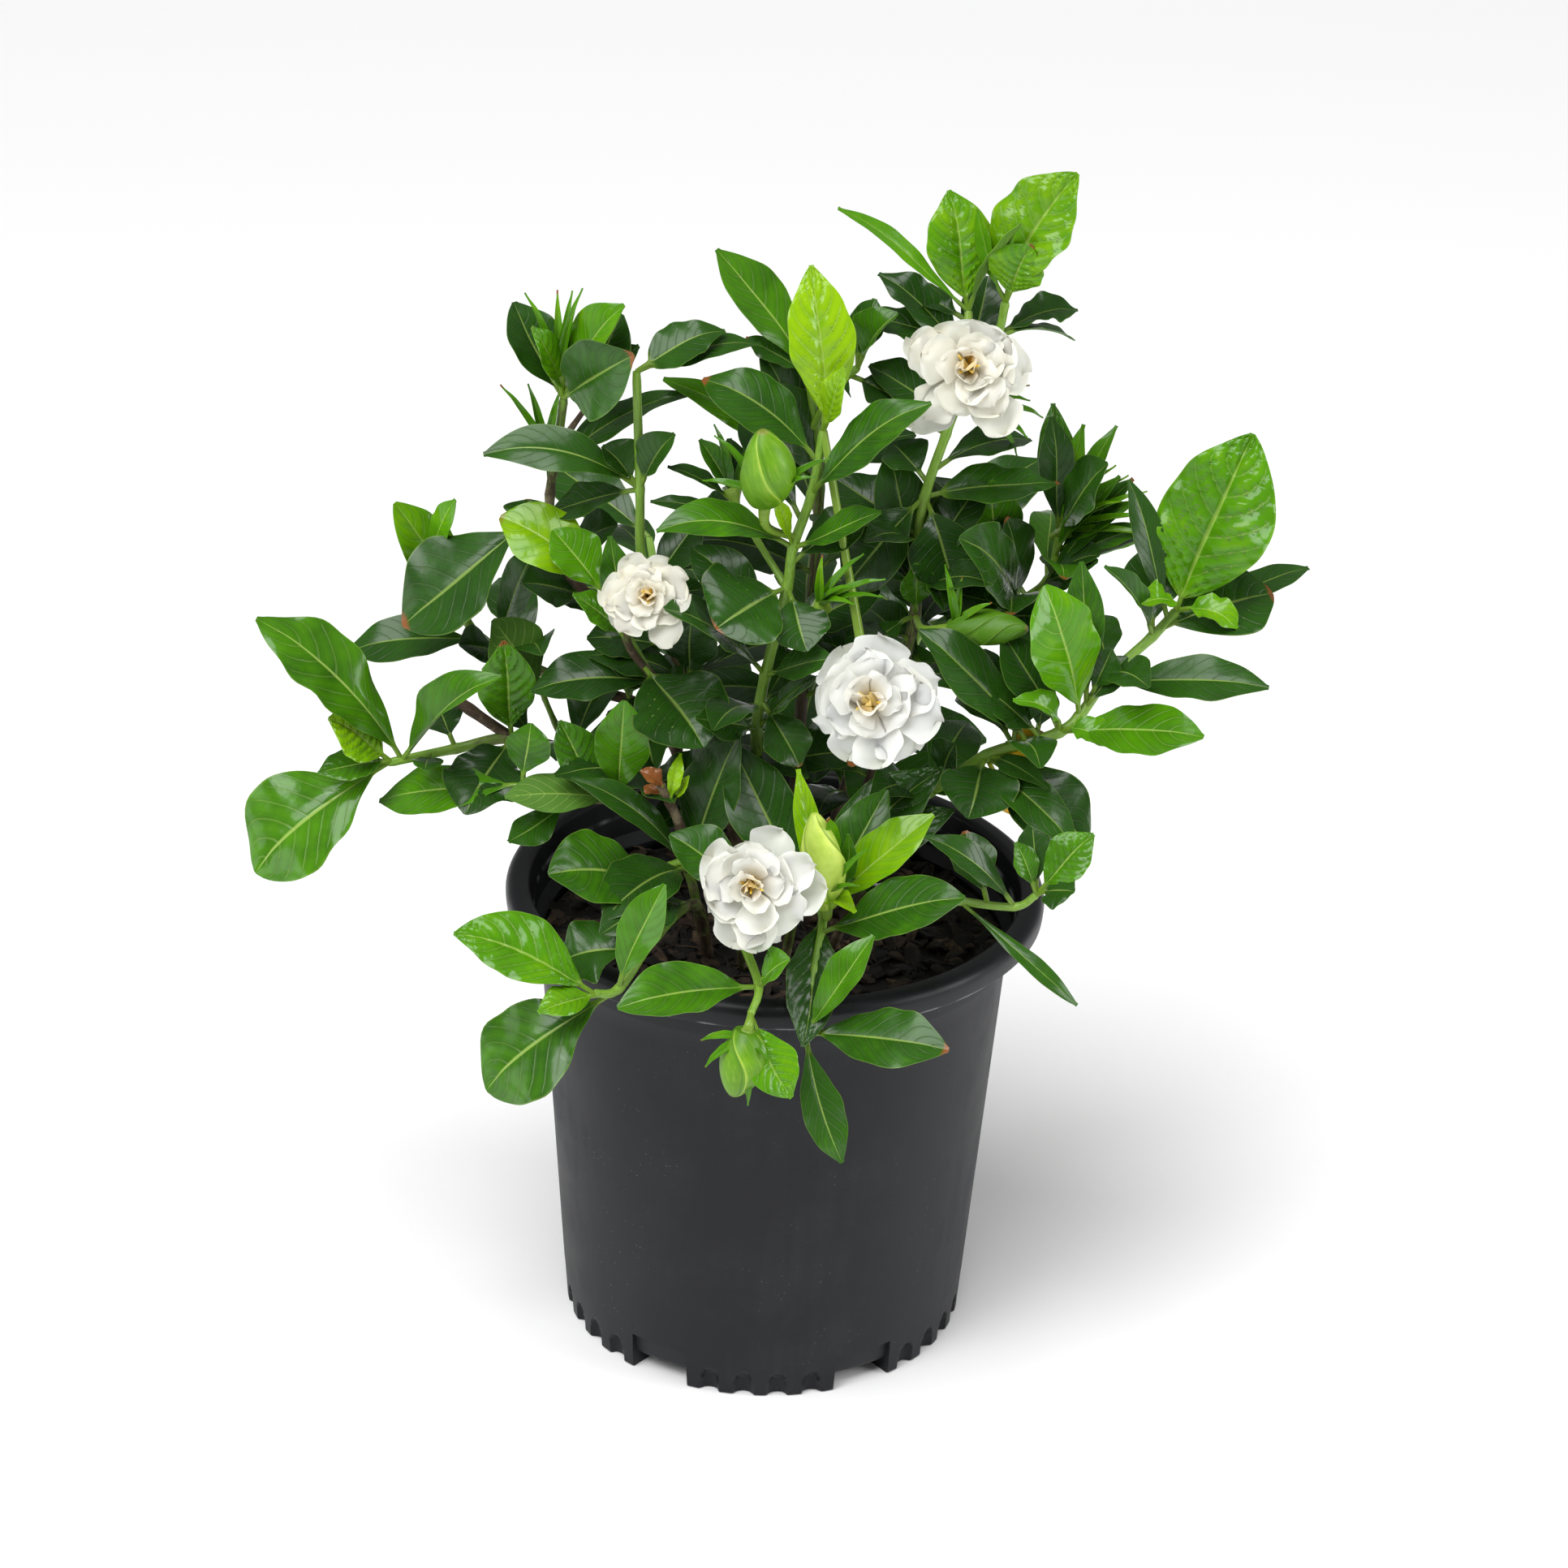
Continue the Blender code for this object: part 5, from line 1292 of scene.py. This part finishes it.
def stem_finish():
    """Smooth green shoots that turn to fissured brown bark with pale pores as they grow old."""
    looks = bpy.context.scene.gardenia_stems
    make = Recipe("Stem bark")
    spot, cosine, sine = make.mark("Blade")
    wood = make.mark("Kind")[0]
    patch = make.noise(make.place(), 110, 4)
    strips, grains, pores = (make.joined(make.times(spot, squeeze), cosine, sine)
                             for squeeze in (1.6, 0.9, 5.0))
    strip = make.noise(strips, 3.2, 5, 0.6)
    grain = make.noise(grains, 9.0, 4, 0.65)
    pore = make.sloped(make.cells(pores, 3.0), 0.17, 0.07)
    share = make.varied(wood, strip, 0.9)
    woody = make.sloped(share, 0.35, 0.62)
    green = make.mix(make.sloped(strip, 0.3, 0.7), looks.green_colour, looks.fresh_colour)
    bark = make.mix(make.sloped(grain, 0.35, 0.65), looks.bark_colour, looks.fissure_colour)
    bark = make.mix(make.sloped(patch, 0.5, 0.72), bark, looks.pale_bark_colour)
    base = make.mix(woody, green, bark)
    base = make.mix(make.times(pore, 0.5), base, looks.pale_bark_colour)
    rough = make.plus(0.42, woody, 0.36)
    make.bump(make.times(make.plus(0.15, woody, 0.85), grain), 0.0004, 0.8)
    return make.done(base, rough)


def petal_finish():
    """Soft ivory petals, creamier with age and towards the throat, with faint veins along them."""
    looks = bpy.context.scene.gardenia_blooms
    make = Recipe("Petal")
    along, across, _ = make.mark("Blade")
    warmth, seed, deep = make.mark("Kind")
    patch = make.noise(make.place(), 160, 3)
    lines = make.noise(make.joined(make.times(across, 7.0), along, seed), 3.0, 3)
    edge = make.sloped(make.maths("MAXIMUM", make.maths("ABSOLUTE", across), along), 0.93, 1.0)
    aged = make.varied(warmth, patch, 0.6)
    aged = make.varied(aged, seed, 0.25)
    base = make.mix(aged, looks.petal_colour, looks.cream_colour)
    base = make.mix(make.times(make.sloped(lines, 0.5, 0.75), 0.08), base, looks.cream_colour)
    base = make.mix(make.times(edge, 0.03), base, looks.throat_colour)
    base = make.mix(make.sloped(deep, 0.28, 0.80, 0.0, 0.95), base, looks.throat_colour)
    base = make.mix(make.sloped(deep, 1.4, 1.6), base, looks.stamen_colour)
    rough = make.plus(0.50, patch, 0.12)
    make.bump(lines, 0.00012, 0.5)
    return make.done(base, rough, Subsurface_Weight=0.6, Subsurface_Radius=(1.0, 0.95, 0.85),
                     Subsurface_Scale=0.008, Sheen_Weight=0.05)


def bud_finish():
    """Wrapped buds: green or cream petals, each fold lighter towards its edge as a painted highlight and
    dark just past it as painted shade, greener towards the stalk.
    """
    looks = bpy.context.scene.gardenia_blooms
    make = Recipe("Bud")
    along, fold, _ = make.mark("Blade")
    pale, _, foot = make.mark("Kind")
    patch = make.noise(make.place(), 260, 4)
    lines = make.noise(make.joined(make.times(fold, 3.0), along, pale), 4.0, 3)
    share = make.varied(pale, patch, 0.35)
    # Each fold grows lighter towards its edge: painted highlight
    share = make.plus(share, make.sloped(fold, 0.2, 0.95), 0.16)
    share = make.plus(share, foot, -0.25)
    base = make.ramp(share, [(0.0, looks.bud_dark_colour), (0.35, looks.bud_colour),
                             (1.0, looks.bud_pale_colour)])
    base = make.mix(make.times(make.sloped(lines, 0.5, 0.7), 0.12), base, looks.bud_pale_colour)
    # Dark just past each fold's edge is painted shade under it, and the pale edge itself a painted highlight
    base = make.mix(make.times(make.sloped(fold, -0.75, -0.98), 0.6), base, looks.bud_dark_colour)
    base = make.mix(make.sloped(fold, 0.74, 0.88, 0.0, 0.35), base, looks.bud_pale_colour)
    tip = make.times(make.sloped(along, 0.965, 0.995), make.sloped(pale, 0.4, 0.2))
    base = make.mix(make.times(tip, 0.45), base, looks.bud_tip_colour)
    rough = make.plus(0.32, patch, 0.2)
    make.bump(lines, 0.0002, 0.5)
    return make.done(base, rough, Coat_Weight=0.05, Coat_Roughness=0.3, Specular_IOR_Level=0.3)


def pot_finish():
    """Blow-moulded black plastic: dusty streaks down the wall, a smoother rim with a painted sheen, and
    scuffs under the lip.
    """
    looks = bpy.context.scene.gardenia_pot
    make = Recipe("Pot plastic")
    place = make.place()
    height = make.add("SeparateXYZ", {0: place}).outputs[2]
    cloud = make.noise(place, 22, 5, 0.6, 0.4)
    streak = make.noise(make.place((1.0, 1.0, 0.09)), 120, 4, 0.6)
    grain = make.noise(place, 1300, 2)
    speck = make.sloped(make.cells(place, 330), 0.13, 0.05)
    rim = make.sloped(height, LIP_BOTTOM - 0.0005, LIP_BOTTOM + 0.001)
    dust = make.times(make.sloped(cloud, 0.35, 0.75), make.sloped(streak, 0.3, 0.7, 0.35, 1.0))
    base = make.mix(make.times(dust, 0.55), looks.plastic_colour, looks.dust_colour)
    # The rim is painted a little lighter than the wall: a painted sheen
    base = make.mix(make.times(rim, 0.5), base, looks.rim_sheen_colour)
    specks = make.times(speck, make.sloped(cloud, 0.5, 0.7))
    base = make.mix(make.times(specks, 0.35), base, looks.scuff_colour)
    low = make.sloped(height, LIP_BOTTOM + 0.0016, LIP_BOTTOM + 0.0002)
    edge = make.times(low, make.sloped(height, LIP_BOTTOM - 0.0012, LIP_BOTTOM - 0.0002))
    scuff = make.times(edge, make.sloped(make.noise(place, 60, 4), 0.42, 0.62))
    base = make.mix(make.times(scuff, 0.75), base, looks.scuff_colour)
    rough = make.plus(make.sloped(rim, 0.0, 1.0, 0.46, 0.36), dust, 0.20)
    rough = make.plus(rough, scuff, 0.2)
    make.bump(make.plus(make.times(grain, 0.4), streak, 0.6), 0.00016, 0.6)
    return make.done(base, rough, Specular_IOR_Level=0.24)


def mix_finish():
    """Bark and peat: each chip its own brown, patchy and darkened by its grain."""
    looks = bpy.context.scene.gardenia_pot
    make = Recipe("Potting mix")
    shade = make.mark("Kind")[0]
    place = make.place()
    grain = make.noise(place, 700, 4, 0.6)
    patch = make.noise(place, 160, 4)
    base = make.ramp(make.varied(shade, patch, 0.5),
                     [(0.0, looks.peat_colour), (0.55, looks.bark_colour), (0.9, looks.chip_colour),
                      (1.0, looks.fibre_colour)])
    base = make.mix(make.times(make.sloped(grain, 0.4, 0.7), 0.4), base, looks.peat_colour)
    rough = make.plus(0.78, grain, 0.15)
    make.bump(grain, 0.0005, 0.8)
    return make.done(base, rough)


def floor_finish():
    """A pale matt floor with the faintest unevenness."""
    looks = bpy.context.scene.gardenia_stage
    make = Recipe("Pale floor")
    cloud = make.noise(make.place(), 1.5, 4)
    deeper = tuple(0.985 * share for share in looks.floor_colour)
    return make.done(make.mix(cloud, looks.floor_colour, deeper), make.plus(0.80, cloud, 0.05))


# ---------------------------------------------------------------- what a user can change

def metres(name, description, default):
    """A length in metres."""
    return bpy.props.FloatProperty(name=name, description=description, default=default, min=0.0,
                                   unit="LENGTH", precision=5)


def factor(name, description, default, most=1.0):
    """A share or a multiplier."""
    return bpy.props.FloatProperty(name=name, description=description, default=default, min=0.0, max=most,
                                   subtype="FACTOR")


def whole_number(name, description, default):
    """A number of like pieces."""
    return bpy.props.IntProperty(name=name, description=description, default=default, min=1)


def tint(name, description, *shown):
    """A colour, given as it shows on a screen: red, green and blue from 0 to 255."""
    return bpy.props.FloatVectorProperty(name=name, description=description, default=colour(*shown),
                                         subtype="COLOR", min=0.0, max=1.0)


class GardeniaStems(bpy.types.PropertyGroup):
    """Sizes and colours of the stems."""

    swelling: factor("Node swelling", "How much a stem thickens where leaves join it", 0.16)
    green_colour: tint("Green", "Skin of a green stem", 96, 136, 34)
    fresh_colour: tint("Fresh green", "Lighter strips on a green stem", 126, 166, 54)
    bark_colour: tint("Bark", "Brown bark", 92, 72, 52)
    fissure_colour: tint("Fissures", "Dark lines in the bark", 48, 37, 28)
    pale_bark_colour: tint("Pale bark", "Grey patches and pores", 132, 118, 94)


class GardeniaLeaves(bpy.types.PropertyGroup):
    """Sizes and colours of the leaves."""

    thickness: metres("Thickness", "Thickness of a blade", 0.00042)
    quilting: factor("Quilting", "How far blades bulge between their side veins", 1.0, 3.0)
    # Partly painted shade: the darkest tone also darkens the leaves deep in the shrub
    shaded_colour: tint("Shaded", "Oldest leaves", 28, 60, 16)
    mature_colour: tint("Mature", "Most of the leaves", 40, 84, 12)
    young_colour: tint("Young", "Leaves near the tips", 78, 138, 8)
    new_colour: tint("New", "Newest leaves", 136, 180, 8)
    vein_colour: tint("Veins", "Midribs, side veins and margins", 166, 194, 92)
    under_colour: tint("Underside", "Underside of a blade", 84, 120, 48)
    stalk_colour: tint("Stalk", "Leaf stalks", 112, 144, 44)
    yellowed_colour: tint("Yellowed", "A leaf that is about to drop", 226, 176, 40)
    spoilt_colour: tint("Brown tips", "Tips of a few leaves", 132, 80, 40)


class GardeniaBlooms(bpy.types.PropertyGroup):
    """Sizes and colours of the blooms and buds."""

    thickness: metres("Petal thickness", "Thickness of a petal", 0.00040)
    petal_colour: tint("Petal", "A newly opened petal", 241, 242, 237)
    cream_colour: tint("Cream", "An ageing petal", 242, 236, 208)
    throat_colour: tint("Throat", "Deep in a bloom", 240, 204, 84)
    stamen_colour: tint("Stamens", "Ochre stamens", 214, 168, 44)
    # Also the painted shade under each fold's edge
    bud_dark_colour: tint("Bud shade", "Foot of a bud", 70, 118, 8)
    bud_colour: tint("Bud", "Green of a bud", 100, 150, 14)
    # Also the painted highlight on each fold's edge
    bud_pale_colour: tint("Pale bud", "Cream of an opening bud", 208, 226, 104)
    bud_tip_colour: tint("Bud tip", "Browned tip of a green bud", 150, 118, 78)


class GardeniaPot(bpy.types.PropertyGroup):
    """Counts and colours of the pot and its mix."""

    chips: whole_number("Chips", "Bark chips on the mix", 850)
    fibres: whole_number("Fibres", "Fibres on the mix", 120)
    plastic_colour: tint("Plastic", "Black plastic", 20, 21, 25)
    # A little lighter than the plastic: a painted sheen on the rim
    rim_sheen_colour: tint("Rim", "The smoother rim", 25, 26, 28)
    dust_colour: tint("Dust", "Dusty streaks", 49, 50, 54)
    scuff_colour: tint("Scuffs", "Rubbed places", 150, 152, 154)
    peat_colour: tint("Peat", "Dark damp peat", 10, 8, 6)
    bark_colour: tint("Bark", "Most of the chips", 27, 20, 14)
    chip_colour: tint("Dry chips", "Dry chips", 58, 42, 29)
    fibre_colour: tint("Fibres", "Pale fibres", 92, 74, 54)


class GardeniaStage(bpy.types.PropertyGroup):
    """The floor, the light and the camera."""

    floor_width: metres("Floor width", "Side of the square floor", 40.0)
    floor_colour: tint("Floor", "Pale floor", 250, 250, 250)
    sky_strength: factor("Room light", "Even light from the pale room", 0.24, 5.0)
    sun_strength: factor("Overhead light", "Strength of the wide soft light overhead", 2.5, 10.0)
    sun_angle: bpy.props.FloatProperty(
        name="Overhead width", description="How wide the overhead light looks",
        default=math.radians(40), min=0.0, subtype="ANGLE")
    lamp_power: factor("Softboxes", "Multiplies the power of the softboxes", 1.0, 10.0)
    lens: bpy.props.FloatProperty(
        name="Lens", description="Focal length on a 36 mm sensor", default=84.52, min=1.0, unit="CAMERA")


# ---------------------------------------------------------------- camera and lights

# Softboxes: name, place, diameter and power
LAMPS = (("Front left softbox", (-1.1, -1.2, 1.5), 0.9, 14.0),
         ("Right softbox", (1.7, -0.5, 0.9), 1.0, 17.0),
         ("Left softbox", (-1.8, -0.2, 0.7), 0.9, 4.0))
LAMP_TARGET = (0.0, 0.0, 0.30)
SUN_PLACE = (-0.5, -0.9, 2.6)
CAMERA_PLACE = (-0.00814, -1.46087, 0.95499)
CAMERA_PITCH = -25.4406
CAMERA_YAW = 0.4239
CAMERA_ROLL = 1.8452
CAMERA_CLIP = (0.05, 60.0)
SENSOR_WIDTH = 36.0


def aimed(place, target):
    """The matrix of a lamp that looks along its -Z at a target."""
    turn = square_to(np.array(place) - np.array(target))
    matrix = Matrix(turn.tolist()).to_4x4()
    matrix.translation = place
    return matrix


def seen_from(place, pitch, yaw, roll):
    """The camera's matrix from its place and three angles in degrees: down is a negative pitch, and yaw is
    clockwise from +Y.
    """
    pitch, yaw, roll = (math.radians(angle) for angle in (pitch, yaw, roll))
    ahead = np.array([math.sin(yaw) * math.cos(pitch), math.cos(yaw) * math.cos(pitch), math.sin(pitch)])
    right = unit(np.cross(ahead, [0.0, 0.0, 1.0]))
    right, up = turned(right, np.cross(right, ahead), -roll)
    matrix = Matrix(np.stack([right, up, -ahead], axis=1).tolist()).to_4x4()
    matrix.translation = place
    return matrix


# ---------------------------------------------------------------- operators

class BuildStage(bpy.types.Operator):
    """Lay the pale floor, hang the soft lights and set the camera"""

    bl_idname = "gardenia.build_stage"
    bl_label = "Stage"
    bl_options = {"REGISTER", "UNDO"}

    def execute(self, context):
        looks = context.scene.gardenia_stage
        half = looks.floor_width / 2
        mesh = bpy.data.meshes.new("floor")
        corners = [(-half, -half, 0), (half, -half, 0), (half, half, 0), (-half, half, 0)]
        mesh.from_pydata(corners, [], [(0, 1, 2, 3)])
        mesh.materials.append(floor_finish())
        add_object("floor", mesh)

        world = bpy.data.worlds.new("Pale room")
        world.use_nodes = True
        sky = world.node_tree.nodes["Background"]
        sky.inputs["Color"].default_value = (1.0, 1.0, 1.0, 1.0)
        sky.inputs["Strength"].default_value = looks.sky_strength
        context.scene.world = world
        for name, place, size, power in LAMPS:
            light = bpy.data.lights.new(name, "AREA")
            light.shape, light.size, light.energy = "DISK", size, power * looks.lamp_power
            add_object(name, light, aimed(place, LAMP_TARGET))
        sun = bpy.data.lights.new("Sky panel", "SUN")
        sun.energy, sun.angle = looks.sun_strength, looks.sun_angle
        add_object("Sky panel", sun, aimed(SUN_PLACE, LAMP_TARGET))

        camera = bpy.data.cameras.new("Camera")
        camera.lens = looks.lens
        camera.sensor_width = SENSOR_WIDTH
        camera.clip_start, camera.clip_end = CAMERA_CLIP
        view = seen_from(CAMERA_PLACE, CAMERA_PITCH, CAMERA_YAW, CAMERA_ROLL)
        context.scene.camera = add_object("Camera", camera, view)
        context.scene.view_settings.view_transform = "Standard"
        return {"FINISHED"}


class BuildPot(bpy.types.Operator):
    """Turn the ribbed-foot nursery pot"""

    bl_idname = "gardenia.build_pot"
    bl_label = "Pot"
    bl_options = {"REGISTER", "UNDO"}

    def execute(self, context):
        build_piece("nursery_pot", [pot_shell()], pot_finish(), ["pot"], crease=32.0)
        return {"FINISHED"}


class BuildMix(bpy.types.Operator):
    """Heap the potting mix and scatter its chips and fibres"""

    bl_idname = "gardenia.build_mix"
    bl_label = "Potting mix"
    bl_options = {"REGISTER", "UNDO"}

    def execute(self, context):
        looks = context.scene.gardenia_pot
        finish = mix_finish()
        build_piece("mix_mound", [mix_mound()], finish, ["potting_mix"])
        build_piece("bark_chips", chip_shells(looks.chips, CHIP_SEED), finish, crease=30.0)
        build_piece("mix_fibres", fibre_shells(looks.fibres, FIBRE_SEED), finish)
        return {"FINISHED"}


class BuildStems(bpy.types.Operator):
    """Grow every stem with its side shoots"""

    bl_idname = "gardenia.build_stems"
    bl_label = "Stems"
    bl_options = {"REGISTER", "UNDO"}

    def execute(self, context):
        finish = stem_finish()
        for stem in LEAF_NODES:
            shells = [stem_shell(shoot) for shoot in SHOOTS if SHOOTS[shoot].stem == stem]
            build_piece("bark_" + stem, shells, finish, ["stem_" + stem])
        return {"FINISHED"}


class BuildLeaves(bpy.types.Operator):
    """Hang the leaves of every stem on it"""

    bl_idname = "gardenia.build_leaves"
    bl_label = "Leaves"
    bl_options = {"REGISTER", "UNDO"}

    def execute(self, context):
        finish = leaf_finish()
        for number, (stem, nodes) in enumerate(LEAF_NODES.items()):
            shells = []
            for shoot in SHOOTS:
                if SHOOTS[shoot].stem == stem:
                    shells += shoot_leaves(shoot, LEAF_SEEDS * (number + 1) + len(shells))
            build_piece("leaves_" + stem, shells, finish, nodes)
        return {"FINISHED"}


class BuildBlooms(bpy.types.Operator):
    """Open the double blooms on their green calyces"""

    bl_idname = "gardenia.build_blooms"
    bl_label = "Blooms"
    bl_options = {"REGISTER", "UNDO"}

    def execute(self, context):
        petals, green = petal_finish(), leaf_finish()
        for number, (name, bloom) in enumerate(BLOOMS.items()):
            shoot, centre, facing, diameter, warmth, lean = bloom
            shells = bloom_shells(centre, facing, diameter, warmth, lean, BLOOM_SEED + number)
            build_piece("petals_" + name, shells, petals, ["bloom_" + name])
            stalk = flower_stalk(SHOOTS[shoot].nodes[-1], centre, facing, diameter)
            build_piece("calyx_" + name, [stalk], green)
        return {"FINISHED"}


class BuildBuds(bpy.types.Operator):
    """Wind the buds and set their calyces, and the bare calyces of spent blooms"""

    bl_idname = "gardenia.build_buds"
    bl_label = "Buds"
    bl_options = {"REGISTER", "UNDO"}

    def execute(self, context):
        wrapped, green = bud_finish(), leaf_finish()
        for number, (name, bud) in enumerate(BUDS.items()):
            (shoot, node), foot, tip, width, folds, turns, pale, lobes = bud
            shell = bud_shell(foot, tip, width, folds, turns, pale, BUD_PHASE * number)
            build_piece("bud_petals_" + name, [shell], wrapped, ["bud_" + name])
            cup = calyx_shells(foot, tip, width, GREEN_TONE, lobes, BUD_SEED + SEEDS_EACH * number)
            cup.append(bud_stalk(at_node(SHOOTS[shoot].nodes, node), foot, tip))
            build_piece("bud_calyx_" + name, cup, green)
        for number, (foot, tone, tips) in enumerate(BARE_CALYCES):
            lobes = calyx_shells(foot, tips[0], BARE_WIDTH, tone, tips, BARE_SEED + SEEDS_EACH * number)
            build_piece("spent_calyx_" + "abcdefgh"[number], lobes, green)
        return {"FINISHED"}


class GardeniaPanel(bpy.types.Panel):
    """Lists the steps that build the gardenia, in order"""

    bl_idname = "VIEW3D_PT_gardenia"
    bl_label = "Potted gardenia"
    bl_space_type = "VIEW_3D"
    bl_region_type = "UI"
    bl_category = "Gardenia"

    def draw(self, context):
        for step in STEPS:
            self.layout.operator(step.bl_idname)


# ---------------------------------------------------------------- the add-on

STEPS = (BuildStage, BuildPot, BuildMix, BuildStems, BuildLeaves, BuildBlooms, BuildBuds)
GROUPS = {
    "gardenia_stage": GardeniaStage,
    "gardenia_pot": GardeniaPot,
    "gardenia_stems": GardeniaStems,
    "gardenia_leaves": GardeniaLeaves,
    "gardenia_blooms": GardeniaBlooms,
}


def register():
    for group in (*GROUPS.values(), *STEPS, GardeniaPanel):
        bpy.utils.register_class(group)
    for name, group in GROUPS.items():
        setattr(bpy.types.Scene, name, bpy.props.PointerProperty(type=group))


def unregister():
    for name in GROUPS:
        delattr(bpy.types.Scene, name)
    for group in (GardeniaPanel, *reversed(STEPS), *reversed(GROUPS.values())):
        bpy.utils.unregister_class(group)


def main():
    """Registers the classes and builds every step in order."""
    register()
    for step in STEPS:
        family, name = step.bl_idname.split(".")
        getattr(getattr(bpy.ops, family), name)()


if __name__ == "__main__":
    main()
